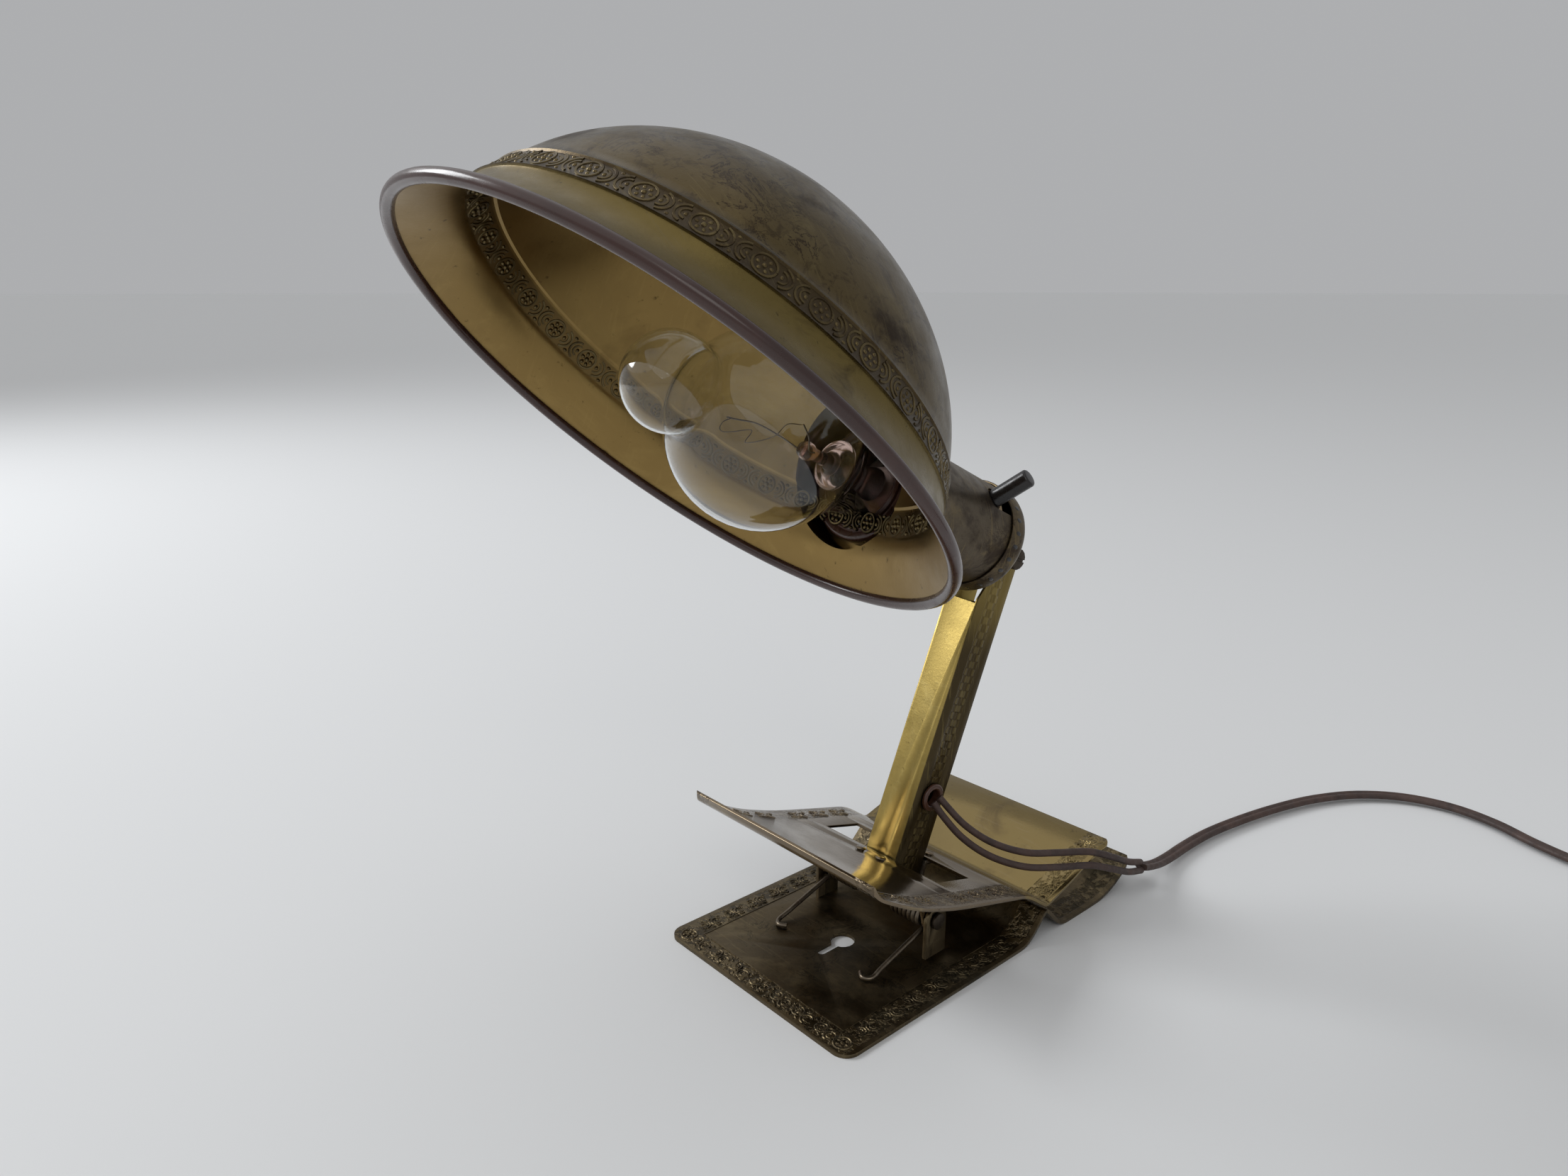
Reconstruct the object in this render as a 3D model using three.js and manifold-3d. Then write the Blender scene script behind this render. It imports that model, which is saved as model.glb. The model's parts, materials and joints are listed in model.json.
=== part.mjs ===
// A clip-on lamp: a sprung two-plate clamp, a square arm that swings in a slot of the upper plate,
// a tilting push-through socket and a helmet shade with its bulb, and the two-wire cord with its plug.
// Millimetres, +Z up. X runs along the clamp's hinge pin, -Y towards the finger lip, and the origin
// is on the base plate's underside, straight below the hinge pin.
import * as THREE from 'three';
import { mergeVertices } from 'three/addons/utils/BufferGeometryUtils.js';
import Module from 'manifold-3d';

const wasm = await Module();
wasm.setup();

// ---- driving dimensions ---------------------------------------------------------------------
const GAP = 0.3; // air between touching pieces
const PIN_FIT = 0.3; // air all round a pin in its hole

// clamp plates
const PLATE_WIDTH = 96;
const CORNER_RADIUS = 6;
const BASE_THICK = 1.4;
const BASE_FRONT = 65; // front edge, ahead of the pin
const RAMP_START = 31; // where the base turns up, behind the pin
const RIDGE_Y = 42; // jaw ridge, behind the pin
const RIDGE_RISE = 10.6; // the ridge's height over the flat of the base
const FOOT_Y = 52; // where the ridge comes down again
const SCOOP_Y = 84; // where the lower jaw starts to curl up
const SCOOP_END_Y = 101;
const SCOOP_RISE = 10.5;
const JAW_THICK = 1.2;
const LIP_Y = -51.8;
const LIP_Z = 56.6;
const PLATE_SLOPE = 0.283; // fall of the upper plate towards the pin and the ridge, per mm of depth
const PLATE_AT_SLOT = 27.8; // height of the upper plate at the middle of its slot
const SLOT_Y = 8.7;
const LEAF_END_Y = 84.3;
const LEAF_END_Z = 24.4;

// clamp hinge and springs
const PIN_Z = 15.5;
const PIN_RADIUS = 1.9;
const PIN_HEAD_RADIUS = 3.1;
const PIN_HEAD_THICK = 1.2;
const BASE_EAR_INSIDE = 27.6; // inner face of the base's ears, from the middle
const EAR_THICK = 1.5;
const EAR_RADIUS = 5.4;
const SPRING_WIRE = 0.9; // wire radius
const SPRING_COIL = 3.9; // radius of the coil's centre line
const SPRING_TURNS = 7;
const SPRING_LEAVE = THREE.MathUtils.degToRad(56); // where the coil's last turn runs off into its leg
const SPRING_PITCH = 2.05;
const SPRING_INNER_X = 9.6;

// arm
const ARM_WIDTH = 15;
const ARM_DEPTH = 16.8;
const ARM_WALL = 1;
const ARM_LEAN = THREE.MathUtils.degToRad(20);
const ARM_PIVOT_DEPTH = 4; // the arm's pivot, under the middle of the slot
const ARM_LENGTH = 125.5; // pivot to head screw, along the arm
const ARM_SWUNG = THREE.MathUtils.degToRad(3); // to the right in its slot, at rest
const SLOT_HALF = 29;
const SLOT_FIT = 0.9;
const GROMMET_UP = 30; // the cord's way out, up the arm
const GROMMET_RADIUS = 5.5;
const CHEEK_THICK = 1.2;
const CHEEK_HALF = 8.2;
const PIVOT_SCREW_RADIUS = 1.6;

// head
const HEAD_BEHIND = 3.4; // head screw, behind the arm's middle line
const HEAD_TURN = THREE.MathUtils.degToRad(64.9); // turns straight up into the socket's direction
const HEAD_RISE = 2; // the socket's axis, above the head screw
const HEAD_SCREW_RADIUS = 2;
const HEAD_EAR_RADIUS = 5.7;
const CAP_BACK = 7; // the cap's back, ahead of the head screw
const CAP_RADIUS = 20.4;
const CAP_WALL = 0.7;
const CAP_DEPTH = 8.5; // the domed part
const CAP_BAND = 6.2; // the straight band
const SHELL_RADIUS = CAP_RADIUS - CAP_WALL - GAP;
const SHELL_WALL = 0.6;
const SHELL_END = 73; // the shell's front, ahead of the head screw
const LINER_WALL = 0.6;
const ROD_RADIUS = 3.3;
const ROD_PROUD = 14.4;
const ROD_AT = 30.6;
const ROD_AZIMUTH = THREE.MathUtils.degToRad(43);
const LAMP_SHELL_RADIUS = 13.8;
const COLLAR_RADIUS = LAMP_SHELL_RADIUS + 1.9;
const RING_RADIUS = COLLAR_RADIUS + 4.7;

// shade
const SHADE_WALL = 0.8;
const SHADE_RIM = 90.2;
const SHADE_HEIGHT = 73.3;
const SHADE_DROP = 10; // rim's middle, below the socket's axis
const SHADE_AHEAD = 162; // rim's middle, ahead of the head screw
const SHADE_TURN = THREE.MathUtils.degToRad(-106.9);
const SKIRT_TOP = { r: 78, h: 15.5 };
const BAND_TOP = { r: 75, h: 23 };
const DOME_RADIUS = 77.3;
const DOME_FOOT = 6.4;
const DOME_POWER = 1.9;
const POCKET_RADIUS = SHELL_RADIUS + 5.6;
const BEAD_RADIUS = 1.9;

// bulb, along the socket's axis from the head screw
const BULB_TIP = 46.4;
const BULB_BASE_RADIUS = LAMP_SHELL_RADIUS - 0.8;
const BULB_NECK_RADIUS = BULB_BASE_RADIUS - 1.4;
const BULB_BASE_END = 72;
const GLASS_WALL = 0.7;
const BULGE_AT = 129;
const BULGE_RADIUS = 30.5;
const GLASS_HEAD_AT = 166.5;
const GLASS_HEAD_RADIUS = 14.5;

// cord: two wires side by side
const WIRE_RADIUS = 1.35;
const CORD_WIDTH = 5.4;
const COIL_MEAN = 30; // radius at the middle of the turns
const COIL_HALF_WIDTH = 10.9;
const COIL_HEIGHT = 11;
const COIL_CENTRE = [236, 214];
const LEAD_POINTS = [
  [11.4, 18.6, 51], [15, 20.4, 46.4], [20.5, 24.6, 39.2], [28, 31.6, 32.4], [36.5, 42.5, 27.4],
  [44, 54, 26.2], [50, 65.5, 25], [53.2, 76, 20.6], [53.9, 88, 14.6], [53.2, 99, 10.4],
];
const CORD_POINTS = [
  [53.1, 103.5, 8.7], [52.2, 114, 5.6], [51, 126, 3.6], [50.2, 142, 2.9], [51, 160, 2.9], [54.4, 182, 2.9],
  [60.2, 207, 2.9], [68, 230, 2.9], [80, 250.5, 2.9], [96, 264, 2.9], [114.5, 269.2, 2.9],
  [133, 266.5, 2.9], [150.5, 258.8, 2.9], [168, 253.6, 2.9], [186, 252, 2.9], [202, 252.1, 2.9],
  [215, 252.2, 2.9],
];
const PLUG_AT = [264.5, 163];
const PLUG_TURN = THREE.MathUtils.degToRad(-104);

// ---- helpers --------------------------------------------------------------------------------
const X = new THREE.Vector3(1, 0, 0);
const Y = new THREE.Vector3(0, 1, 0);
const Z = new THREE.Vector3(0, 0, 1);
const v2 = (a, b) => new THREE.Vector2(a, b);
const v3 = (a, b, c) => new THREE.Vector3(a, b, c);
const shift = (x, y, z) => new THREE.Matrix4().makeTranslation(x, y, z);
const turnX = (angle) => new THREE.Matrix4().makeRotationX(angle);

/** Turns a closed geometry into a solid, with its faces pointing out. */
function solid(geometry, matrix) {
  const shape = geometry.clone();
  shape.deleteAttribute('normal');
  shape.deleteAttribute('uv');
  if (matrix) shape.applyMatrix4(matrix);
  const merged = mergeVertices(shape, 1e-4);
  const place = merged.attributes.position.array;
  const index = merged.index.array;
  const kept = [];
  let volume = 0;
  const corner = (i) => v3(place[3 * i], place[3 * i + 1], place[3 * i + 2]);
  for (let i = 0; i < index.length; i += 3) {
    const [a, b, c] = [index[i], index[i + 1], index[i + 2]];
    if (a === b || b === c || c === a) continue;
    kept.push(a, b, c);
    volume += corner(a).dot(corner(b).cross(corner(c)));
  }
  if (volume < 0) kept.reverse();
  return new wasm.Manifold(new wasm.Mesh({
    numProp: 3, vertProperties: new Float32Array(place), triVerts: new Uint32Array(kept),
  }));
}

/** Extrudes a closed outline of [y, z] corners along X, centred on x. */
function alongX(outline, width, x = 0) {
  const shape = new THREE.Shape(outline.map(([y, z]) => v2(y, z)));
  const geometry = new THREE.ExtrudeGeometry(shape, { depth: width, bevelEnabled: false });
  const frame = new THREE.Matrix4().makeBasis(Y, Z, X);
  return solid(geometry, shift(x - width / 2, 0, 0).multiply(frame));
}

/** Revolves a closed profile of [radius, height] corners about Z. */
function lathe(profile, segments = 28, matrix = new THREE.Matrix4()) {
  const first = profile[0];
  const last = profile[profile.length - 1];
  const onAxis = first[0] === 0 && last[0] === 0;
  const closed = onAxis ? profile : [...profile, first];
  const geometry = new THREE.LatheGeometry(closed.map(([r, h]) => v2(r, h)), segments);
  return solid(geometry, matrix.clone().multiply(turnX(Math.PI / 2)));
}

const box = (width, depth, height, matrix) => solid(new THREE.BoxGeometry(width, depth, height), matrix);
const rod = (radius, length, matrix, segments = 18) => lathe(
  [[0, -length / 2], [radius, -length / 2], [radius, length / 2], [0, length / 2]], segments, matrix);
const lyingX = (x, y, z) => shift(x, y, z).multiply(new THREE.Matrix4().makeRotationY(Math.PI / 2));
const lyingY = (x, y, z) => shift(x, y, z).multiply(turnX(Math.PI / 2));
const tubeRing = (inner, outer, low, high, segments = 28) => lathe(
  [[inner, low], [outer, low], [outer, high], [inner, high]], segments);

/** Sweeps a round or flattened section along a smooth curve through points. */
function sweep(points, radius, steps, sides = 8, flat = 1) {
  const section = new THREE.Shape();
  section.absellipse(0, 0, radius * flat, radius, 0, 2 * Math.PI);
  const outline = new THREE.Shape(section.getSpacedPoints(sides).slice(0, sides));
  const curve = new THREE.CatmullRomCurve3(points.map((p) => v3(...p)), false, 'centripetal');
  return new THREE.ExtrudeGeometry(outline, { steps, extrudePath: curve, bevelEnabled: false });
}

/** Rounds the corners of an open line of [y, z, radius] points. */
function rounded(points, steps = 5) {
  const line = [v2(points[0][0], points[0][1])];
  for (let i = 1; i < points.length - 1; i += 1) {
    const at = v2(points[i][0], points[i][1]);
    const before = v2(points[i - 1][0], points[i - 1][1]).sub(at);
    const after = v2(points[i + 1][0], points[i + 1][1]).sub(at);
    const reach = Math.min(points[i][2], before.length() / 2.1, after.length() / 2.1);
    const from = at.clone().add(before.setLength(reach));
    const to = at.clone().add(after.setLength(reach));
    line.push(...new THREE.QuadraticBezierCurve(from, at, to).getPoints(steps));
  }
  const end = points[points.length - 1];
  return [...line, v2(end[0], end[1])];
}

/** Gives an open line a thickness, half to each side, and returns the closed outline. */
function thicken(line, thickness) {
  const left = [];
  const right = [];
  line.forEach((point, i) => {
    const back = point.clone().sub(line[Math.max(i - 1, 0)]).normalize();
    const ahead = line[Math.min(i + 1, line.length - 1)].clone().sub(point).normalize();
    const along = back.clone().add(ahead).normalize();
    const single = i === 0 || i === line.length - 1;
    const reach = thickness / 2 / (single ? 1 : along.dot(ahead));
    left.push([point.x - along.y * reach, point.y + along.x * reach]);
    right.push([point.x + along.y * reach, point.y - along.x * reach]);
  });
  return [...left, ...right.reverse()];
}

/** A tall prism with rounded corners, to trim a plate's outline. */
function trimPrism(width, front, back, radius) {
  const half = width / 2;
  const shape = new THREE.Shape();
  shape.moveTo(-half + radius, front);
  shape.lineTo(half - radius, front);
  shape.absarc(half - radius, front + radius, radius, -Math.PI / 2, 0);
  shape.lineTo(half, back - radius);
  shape.absarc(half - radius, back - radius, radius, 0, Math.PI / 2);
  shape.lineTo(-half + radius, back);
  shape.absarc(-half + radius, back - radius, radius, Math.PI / 2, Math.PI);
  shape.lineTo(-half, front + radius);
  shape.absarc(-half + radius, front + radius, radius, Math.PI, 1.5 * Math.PI);
  const prism = new THREE.ExtrudeGeometry(shape, { depth: 80, bevelEnabled: false, curveSegments: 5 });
  return solid(prism, shift(0, 0, -5));
}

/** Makes the named mesh of a solid or a closed geometry. */
function piece(name, source, colour, roughness, metalness) {
  let made = source.getMesh ? source : solid(source);
  made = made.simplify(0.02).getMesh();
  const geometry = new THREE.BufferGeometry();
  geometry.setAttribute('position', new THREE.BufferAttribute(new Float32Array(made.vertProperties), 3));
  geometry.setIndex(new THREE.BufferAttribute(new Uint32Array(made.triVerts), 1));
  geometry.computeVertexNormals();
  const mesh = new THREE.Mesh(geometry, new THREE.MeshStandardMaterial({ color: colour, roughness, metalness }));
  mesh.name = name;
  return mesh;
}

const BRASS = [0xa88a3c, 0.35, 1];
const DARK_BRASS = [0x5a4c30, 0.45, 1];
const STEEL = [0x6b6256, 0.4, 1];
const BAKELITE = [0x2a1a14, 0.35, 0];
const BLACK = [0x151214, 0.4, 0];
const GLASS = [0xdfe6e6, 0.05, 0];
const RUBBER = [0x3a2a2a, 0.6, 0];
const BEAD = [0x3c2220, 0.4, 0.3];

// ---- clamp: base ----------------------------------------------------------------------------
function basePlate() {
  const mid = BASE_THICK / 2;
  const line = rounded([
    [-BASE_FRONT, mid, 0], [RAMP_START, mid, 5], [RIDGE_Y, RIDGE_RISE + mid, 2.2], [FOOT_Y, mid, 5],
    [SCOOP_Y, mid, 12], [SCOOP_END_Y, SCOOP_RISE + mid, 0],
  ]);
  const sheet = alongX(thicken(line, BASE_THICK), PLATE_WIDTH);
  let plate = sheet.intersect(trimPrism(PLATE_WIDTH, -BASE_FRONT, SCOOP_END_Y + 1, CORNER_RADIUS));
  for (const side of [-1, 1]) {
    const x = side * (BASE_EAR_INSIDE + EAR_THICK / 2);
    plate = plate.add(box(EAR_THICK, 2 * EAR_RADIUS, PIN_Z - mid, shift(x, 0, (PIN_Z + mid) / 2)));
    plate = plate.add(rod(EAR_RADIUS, EAR_THICK, lyingX(x, 0, PIN_Z)));
  }
  plate = plate.subtract(rod(PIN_RADIUS + PIN_FIT, PLATE_WIDTH, lyingX(0, 0, PIN_Z), 16));
  const keyhole = rod(KEYHOLE.radius, 6, shift(0, KEYHOLE.y, 0));
  const slot = box(KEYHOLE.slot, KEYHOLE.reach, 6, shift(0, KEYHOLE.y - KEYHOLE.reach / 2, 0));
  const end = rod(KEYHOLE.slot / 2, 6, shift(0, KEYHOLE.y - KEYHOLE.reach, 0), 12);
  return plate.subtract(keyhole).subtract(slot).subtract(end);
}
const KEYHOLE = { y: -19, radius: 4.6, slot: 3.6, reach: 11 };

/** The centre line of one torsion spring, from the leg on the base to the end of the coil. */
function coilPoints(side) {
  const points = [];
  const x = (u) => side * u;
  const outerX = SPRING_INNER_X + (SPRING_TURNS + 0.4) * SPRING_PITCH;
  const flat = BASE_THICK + SPRING_WIRE + GAP;
  points.push([x(outerX - 5), -29.5, flat], [x(outerX - 2.4), -31.2, flat], [x(outerX), -29.4, flat]);
  points.push([x(outerX), -24, flat + 1.7], [x(outerX), -15, flat + 4.6], [x(outerX), -7.5, flat + 7]);
  const steps = 60;
  const wound = SPRING_TURNS * 2 * Math.PI + SPRING_LEAVE + Math.PI / 2;
  for (let i = 0; i <= steps; i += 1) {
    const angle = -Math.PI / 2 + (wound * i) / steps;
    points.push([
      x(outerX - ((outerX - SPRING_INNER_X) * i) / steps),
      SPRING_COIL * Math.cos(angle),
      PIN_Z + SPRING_COIL * Math.sin(angle),
    ]);
  }
  return points;
}

/** The spring's other leg, from the coil's inner end up under the jaw plate. */
function legPoints(side) {
  const x = side * (SPRING_INNER_X - 0.1);
  const under = jawHeight(-24) - JAW_THICK / 2 - SPRING_WIRE - GAP - 0.5;
  const [cos, sin] = [Math.cos(SPRING_LEAVE), Math.sin(SPRING_LEAVE)];
  const run = (reach) => [x, SPRING_COIL * cos - reach * sin, PIN_Z + SPRING_COIL * sin + reach * cos];
  return [
    run(GAP), run(3), run(12), run(20), [x, -22.5, under - 1.2], [x + side * 1.2, -25.2, under + 0.2],
    [x + side * 5, -25.8, under + 0.6],
  ];
}

// ---- clamp: jaw -----------------------------------------------------------------------------
/** Height of the upper plate's centre line over its straight middle stretch. */
function jawHeight(y) {
  return y > -11.7 ? PLATE_AT_SLOT - PLATE_SLOPE * (y - SLOT_Y) : 33.6 - 0.36 * (y + 11.7);
}
const arm2world = shift(0, SLOT_Y - ARM_PIVOT_DEPTH * Math.sin(ARM_LEAN),
  PLATE_AT_SLOT - ARM_PIVOT_DEPTH * Math.cos(ARM_LEAN)).multiply(turnX(-ARM_LEAN));

const armFrame = arm2world.clone().multiply(new THREE.Matrix4().makeRotationY(ARM_SWUNG));

function jawPlate() {
  const ridgeTop = RIDGE_RISE + BASE_THICK;
  const line = rounded([
    [LIP_Y, LIP_Z, 0], [-50.3, 52.4, 2], [-38.3, 45, 10], [-27.7, 39.6, 8], [-11.7, jawHeight(-11.7), 12],
    [SLOT_Y, PLATE_AT_SLOT, 10], [29.4, jawHeight(29.4), 5], [RIDGE_Y, ridgeTop + JAW_THICK * 0.5 + GAP, 2.4],
    [57.5, 17.4, 9], [70, 22.4, 10], [LEAF_END_Y, LEAF_END_Z, 0],
  ]);
  const sheet = alongX(thicken(line, JAW_THICK), PLATE_WIDTH);
  let plate = sheet.intersect(trimPrism(PLATE_WIDTH, LIP_Y - 1, LEAF_END_Y + 1, CORNER_RADIUS));
  for (const side of [-1, 1]) {
    const x = side * (BASE_EAR_INSIDE - GAP - EAR_THICK / 2);
    const top = [[-9, jawHeight(-9)], [-1.6, jawHeight(-1.6)]];
    plate = plate.add(alongX([[-4.4, PIN_Z - 1], [4.4, PIN_Z + 1], ...top.reverse()], EAR_THICK, x));
    plate = plate.add(rod(EAR_RADIUS - 0.7, EAR_THICK, lyingX(x, 0, PIN_Z)));
  }
  const pinHole = rod(PIN_RADIUS + PIN_FIT, PLATE_WIDTH, lyingX(0, 0, PIN_Z), 16);
  const slot = box(2 * SLOT_HALF, ARM_DEPTH + 2 * SLOT_FIT, 9,
    arm2world.clone().multiply(shift(0, 0, ARM_PIVOT_DEPTH)));
  plate = plate.subtract(pinHole).subtract(slot);
  for (const at of rivetPlaces()) plate = plate.subtract(rod(RIVET_RADIUS + GAP, 5, at, 12));
  return plate;
}
const RIVET_RADIUS = 1.4;
const CHEEK_FLANGE = 6.5;
const cheekY = (end) => end * (ARM_DEPTH / 2 + SLOT_FIT + CHEEK_THICK / 2 + GAP);

/** Where the rivets through the plate and the cheeks' flanges stand. */
function rivetPlaces() {
  const places = [];
  for (const end of [-1, 1]) {
    for (const side of [-1, 1]) {
      places.push(plateFrame(end).multiply(shift(side * 5.2, end * (CHEEK_FLANGE / 2 + 1), 0)));
    }
  }
  return places;
}

/** A frame on the upper plate's centre line beside the slot, with Z square to the plate. */
function plateFrame(end) {
  const cheek = v3(0, cheekY(end), ARM_PIVOT_DEPTH).applyMatrix4(arm2world);
  return shift(0, cheek.y, jawHeight(cheek.y)).multiply(turnX(-Math.atan(PLATE_SLOPE)));
}

/** One of the two cheeks that carry the arm's pivot screw, with its flange under the plate. */
function cheek(end) {
  const wall = box(2 * CHEEK_HALF, CHEEK_THICK, 7,
    arm2world.clone().multiply(shift(0, cheekY(end), 0.6)));
  const foot = rod(5.2, CHEEK_THICK, arm2world.clone().multiply(lyingY(0, cheekY(end), -1.2)));
  const under = -JAW_THICK / 2 - GAP - CHEEK_THICK / 2;
  const flange = box(2 * CHEEK_HALF, CHEEK_FLANGE, CHEEK_THICK,
    plateFrame(end).multiply(shift(0, end * (CHEEK_FLANGE / 2 - 0.6), under)));
  const notch = box(6.8, 2 * CHEEK_FLANGE, 8,
    plateFrame(end).multiply(shift(0, end * (CHEEK_FLANGE + 0.4), 0)));
  let made = wall.add(foot).add(flange.subtract(notch));
  const above = box(60, 60, 20, plateFrame(end).multiply(shift(0, 0, 10 - JAW_THICK / 2 - GAP)));
  made = made.subtract(above);
  made = made.subtract(rod(PIVOT_SCREW_RADIUS + PIN_FIT, 40, arm2world.clone().multiply(lyingY(0, 0, 0)), 16));
  for (const at of rivetPlaces()) made = made.subtract(rod(RIVET_RADIUS + GAP, 12, at, 12));
  return made;
}

/** A rivet with a low head on the plate and a tail head under the flange. */
function rivet(at) {
  const top = JAW_THICK / 2 + GAP;
  const low = -JAW_THICK / 2 - 2 * GAP - CHEEK_THICK;
  return lathe([
    [0, low - 0.9], [1.6, low - 0.9], [2.3, low], [RIVET_RADIUS, low], [RIVET_RADIUS, top], [2.2, top],
    [1.7, top + 0.45], [0, top + 0.55],
  ], 10, at);
}

// ---- arm ------------------------------------------------------------------------------------
function armTube() {
  const straight = ARM_LENGTH - 20; // front and back walls stop here, and the cheeks go on
  const outer = box(ARM_WIDTH, ARM_DEPTH, ARM_LENGTH, shift(0, 0, ARM_LENGTH / 2));
  const inside = [ARM_WIDTH - 2 * ARM_WALL, ARM_DEPTH - 2 * ARM_WALL];
  let tube = outer.add(rod(ARM_WIDTH / 2, ARM_DEPTH, lyingY(0, 0, 0), 28));
  tube = tube.add(rod(HEAD_EAR_RADIUS, ARM_WIDTH, lyingX(0, HEAD_BEHIND, ARM_LENGTH), 28));
  tube = tube.subtract(box(inside[0], inside[1], 2 * ARM_LENGTH));
  tube = tube.subtract(box(inside[0], 60, 60, shift(0, 0, straight + 30)));
  const crop = alongX([[-60, straight + 1.5], [-ARM_DEPTH / 2, straight + 1.5],
    [HEAD_BEHIND - HEAD_EAR_RADIUS, ARM_LENGTH - 4], [HEAD_BEHIND - HEAD_EAR_RADIUS, ARM_LENGTH + 20], [-60, ARM_LENGTH + 20]], 60);
  const back = alongX([[HEAD_BEHIND, ARM_LENGTH], [60, ARM_LENGTH], [60, ARM_LENGTH + 20],
    [-60, ARM_LENGTH + 20], [-60, ARM_LENGTH]], 60);
  tube = tube.subtract(crop).subtract(back.subtract(
    rod(HEAD_EAR_RADIUS, 80, lyingX(0, HEAD_BEHIND, ARM_LENGTH), 28)));
  tube = tube.subtract(rod(HEAD_SCREW_RADIUS + PIN_FIT, 40, lyingX(0, HEAD_BEHIND, ARM_LENGTH), 16));
  tube = tube.subtract(rod(PIVOT_SCREW_RADIUS + PIN_FIT, 40, lyingY(0, 0, 0), 16));
  return tube.subtract(rod(GROMMET_RADIUS - 1, 8, lyingX(ARM_WIDTH / 2, GROMMET_Y, GROMMET_UP)));
}
const GROMMET_Y = 1;

function grommet() {
  const face = ARM_WIDTH / 2 + GAP;
  const inner = ARM_WIDTH / 2 - ARM_WALL - 1.2;
  const throat = GROMMET_RADIUS - 1 - GAP;
  const place = shift(0, GROMMET_Y, GROMMET_UP).multiply(new THREE.Matrix4().makeRotationY(Math.PI / 2));
  return lathe([[3.3, inner], [throat, inner], [throat, face], [GROMMET_RADIUS, face],
    [GROMMET_RADIUS, face + 0.7], [4.6, face + 1.3], [3.3, face + 0.9]], 20, place);
}

/** A cheese-head screw along X, its slot cut across the head. */
function slottedScrew(radius, length, headRadius, headThick, matrix) {
  const stem = lathe([[0, 0], [radius, 0], [radius, length], [headRadius, length],
    [headRadius, length + headThick - 0.5], [headRadius - 0.5, length + headThick], [0, length + headThick]], 14);
  const groove = box(0.9, 2.4 * headRadius, 2, shift(0, 0, length + headThick));
  return stem.subtract(groove).transform(matrix.elements);
}

function hexNut(bore, across, thick, matrix) {
  const hole = rod(bore, 3 * thick, new THREE.Matrix4(), 16);
  return rod(across / Math.sqrt(3), thick, new THREE.Matrix4(), 6).subtract(hole).transform(matrix.elements);
}

// ---- head -----------------------------------------------------------------------------------
const rodFrame = shift(0, 0, ROD_AT)
  .multiply(new THREE.Matrix4().makeRotationZ(ROD_AZIMUTH))
  .multiply(new THREE.Matrix4().makeRotationY(Math.PI / 2));
const BLOCK_HALF = 4.7;
const WASHER_THICK = 0.9;

function swivelBlock() {
  let block = rod(5, 2 * BLOCK_HALF, lyingX(0, 0, 0), 28);
  block = block.add(rod(4.6, CAP_BACK - GAP, shift(0, HEAD_RISE, (CAP_BACK - GAP) / 2)));
  block = block.add(rod(NIPPLE_RADIUS, 9, shift(0, HEAD_RISE, CAP_BACK + 1.5)));
  block = block.subtract(rod(HEAD_SCREW_RADIUS + PIN_FIT, 30, lyingX(0, 0, 0), 16));
  return block.subtract(rod(1.9, 8, shift(0, HEAD_RISE, CAP_BACK + 3), 16));
}
const NIPPLE_RADIUS = 3.6;

function socketCap() {
  const outside = [];
  const inside = [];
  const steps = 4;
  const rise = CAP_DEPTH - 1;
  for (let i = 0; i <= steps; i += 1) {
    const angle = (Math.PI / 2) * (i / steps);
    const h = CAP_BACK + 1 + rise * (1 - Math.cos(angle));
    outside.push([7 + (CAP_RADIUS - 7) * Math.sin(angle), h]);
    inside.push([7 + (CAP_RADIUS - CAP_WALL - 7) * Math.sin(angle), h + CAP_WALL * Math.cos(angle)]);
  }
  const end = CAP_BACK + CAP_DEPTH + CAP_BAND;
  const bore = NIPPLE_RADIUS + GAP;
  return lathe([[bore, CAP_BACK], [6.4, CAP_BACK], ...outside, [CAP_RADIUS, end],
    [CAP_RADIUS - CAP_WALL, end], ...inside.reverse(), [bore, CAP_BACK + 1 + CAP_WALL]], 28);
}

function socketShell() {
  const start = CAP_BACK + CAP_DEPTH + 2.6;
  const inner = SHELL_RADIUS - SHELL_WALL;
  let shell = lathe([[inner, start], [SHELL_RADIUS, start], [SHELL_RADIUS, SHELL_END - 2],
    [FLANGE_RADIUS, SHELL_END - SHELL_WALL], [FLANGE_RADIUS, SHELL_END], [inner, SHELL_END]]);
  const length = ROD_AT - start;
  const slot = box(2 * length, 2 * (ROD_RADIUS + 0.9), 60, rodFrame.clone().multiply(shift(length, 0, 0)));
  shell = shell.subtract(slot);
  return shell.subtract(rod(ROD_RADIUS + 0.9, 60, rodFrame, 20));
}
const FLANGE_RADIUS = SHELL_RADIUS + 2.6;

function linerSleeve() {
  const outer = SHELL_RADIUS - SHELL_WALL - GAP;
  const sleeve = tubeRing(outer - LINER_WALL, outer, ROD_AT - 4.6, COLLAR_START - GAP);
  return sleeve.subtract(rod(ROD_RADIUS + 0.6, 60, rodFrame, 16));
}
const COLLAR_START = 58;
const coreRadius = SHELL_RADIUS - SHELL_WALL - LINER_WALL - 2 * GAP;

function switchBlock() {
  return tubeRing(0, coreRadius, ROD_AT - 4.4, ROD_AT + 5.4).subtract(rod(ROD_RADIUS + GAP, 60, rodFrame, 16));
}

function screwShell() {
  const inner = LAMP_SHELL_RADIUS - 0.45;
  const profile = [[inner, LAMP_SHELL_START], [LAMP_SHELL_RADIUS, LAMP_SHELL_START],
    [LAMP_SHELL_RADIUS, LAMP_SHELL_END], [inner, LAMP_SHELL_END]];
  return lathe(profile);
}
const CORE_BACK = ROD_AT + 5.7;
const CORE_FRONT = 43;
const LAMP_SHELL_START = CORE_FRONT + GAP;
const LAMP_SHELL_END = 70;

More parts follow.
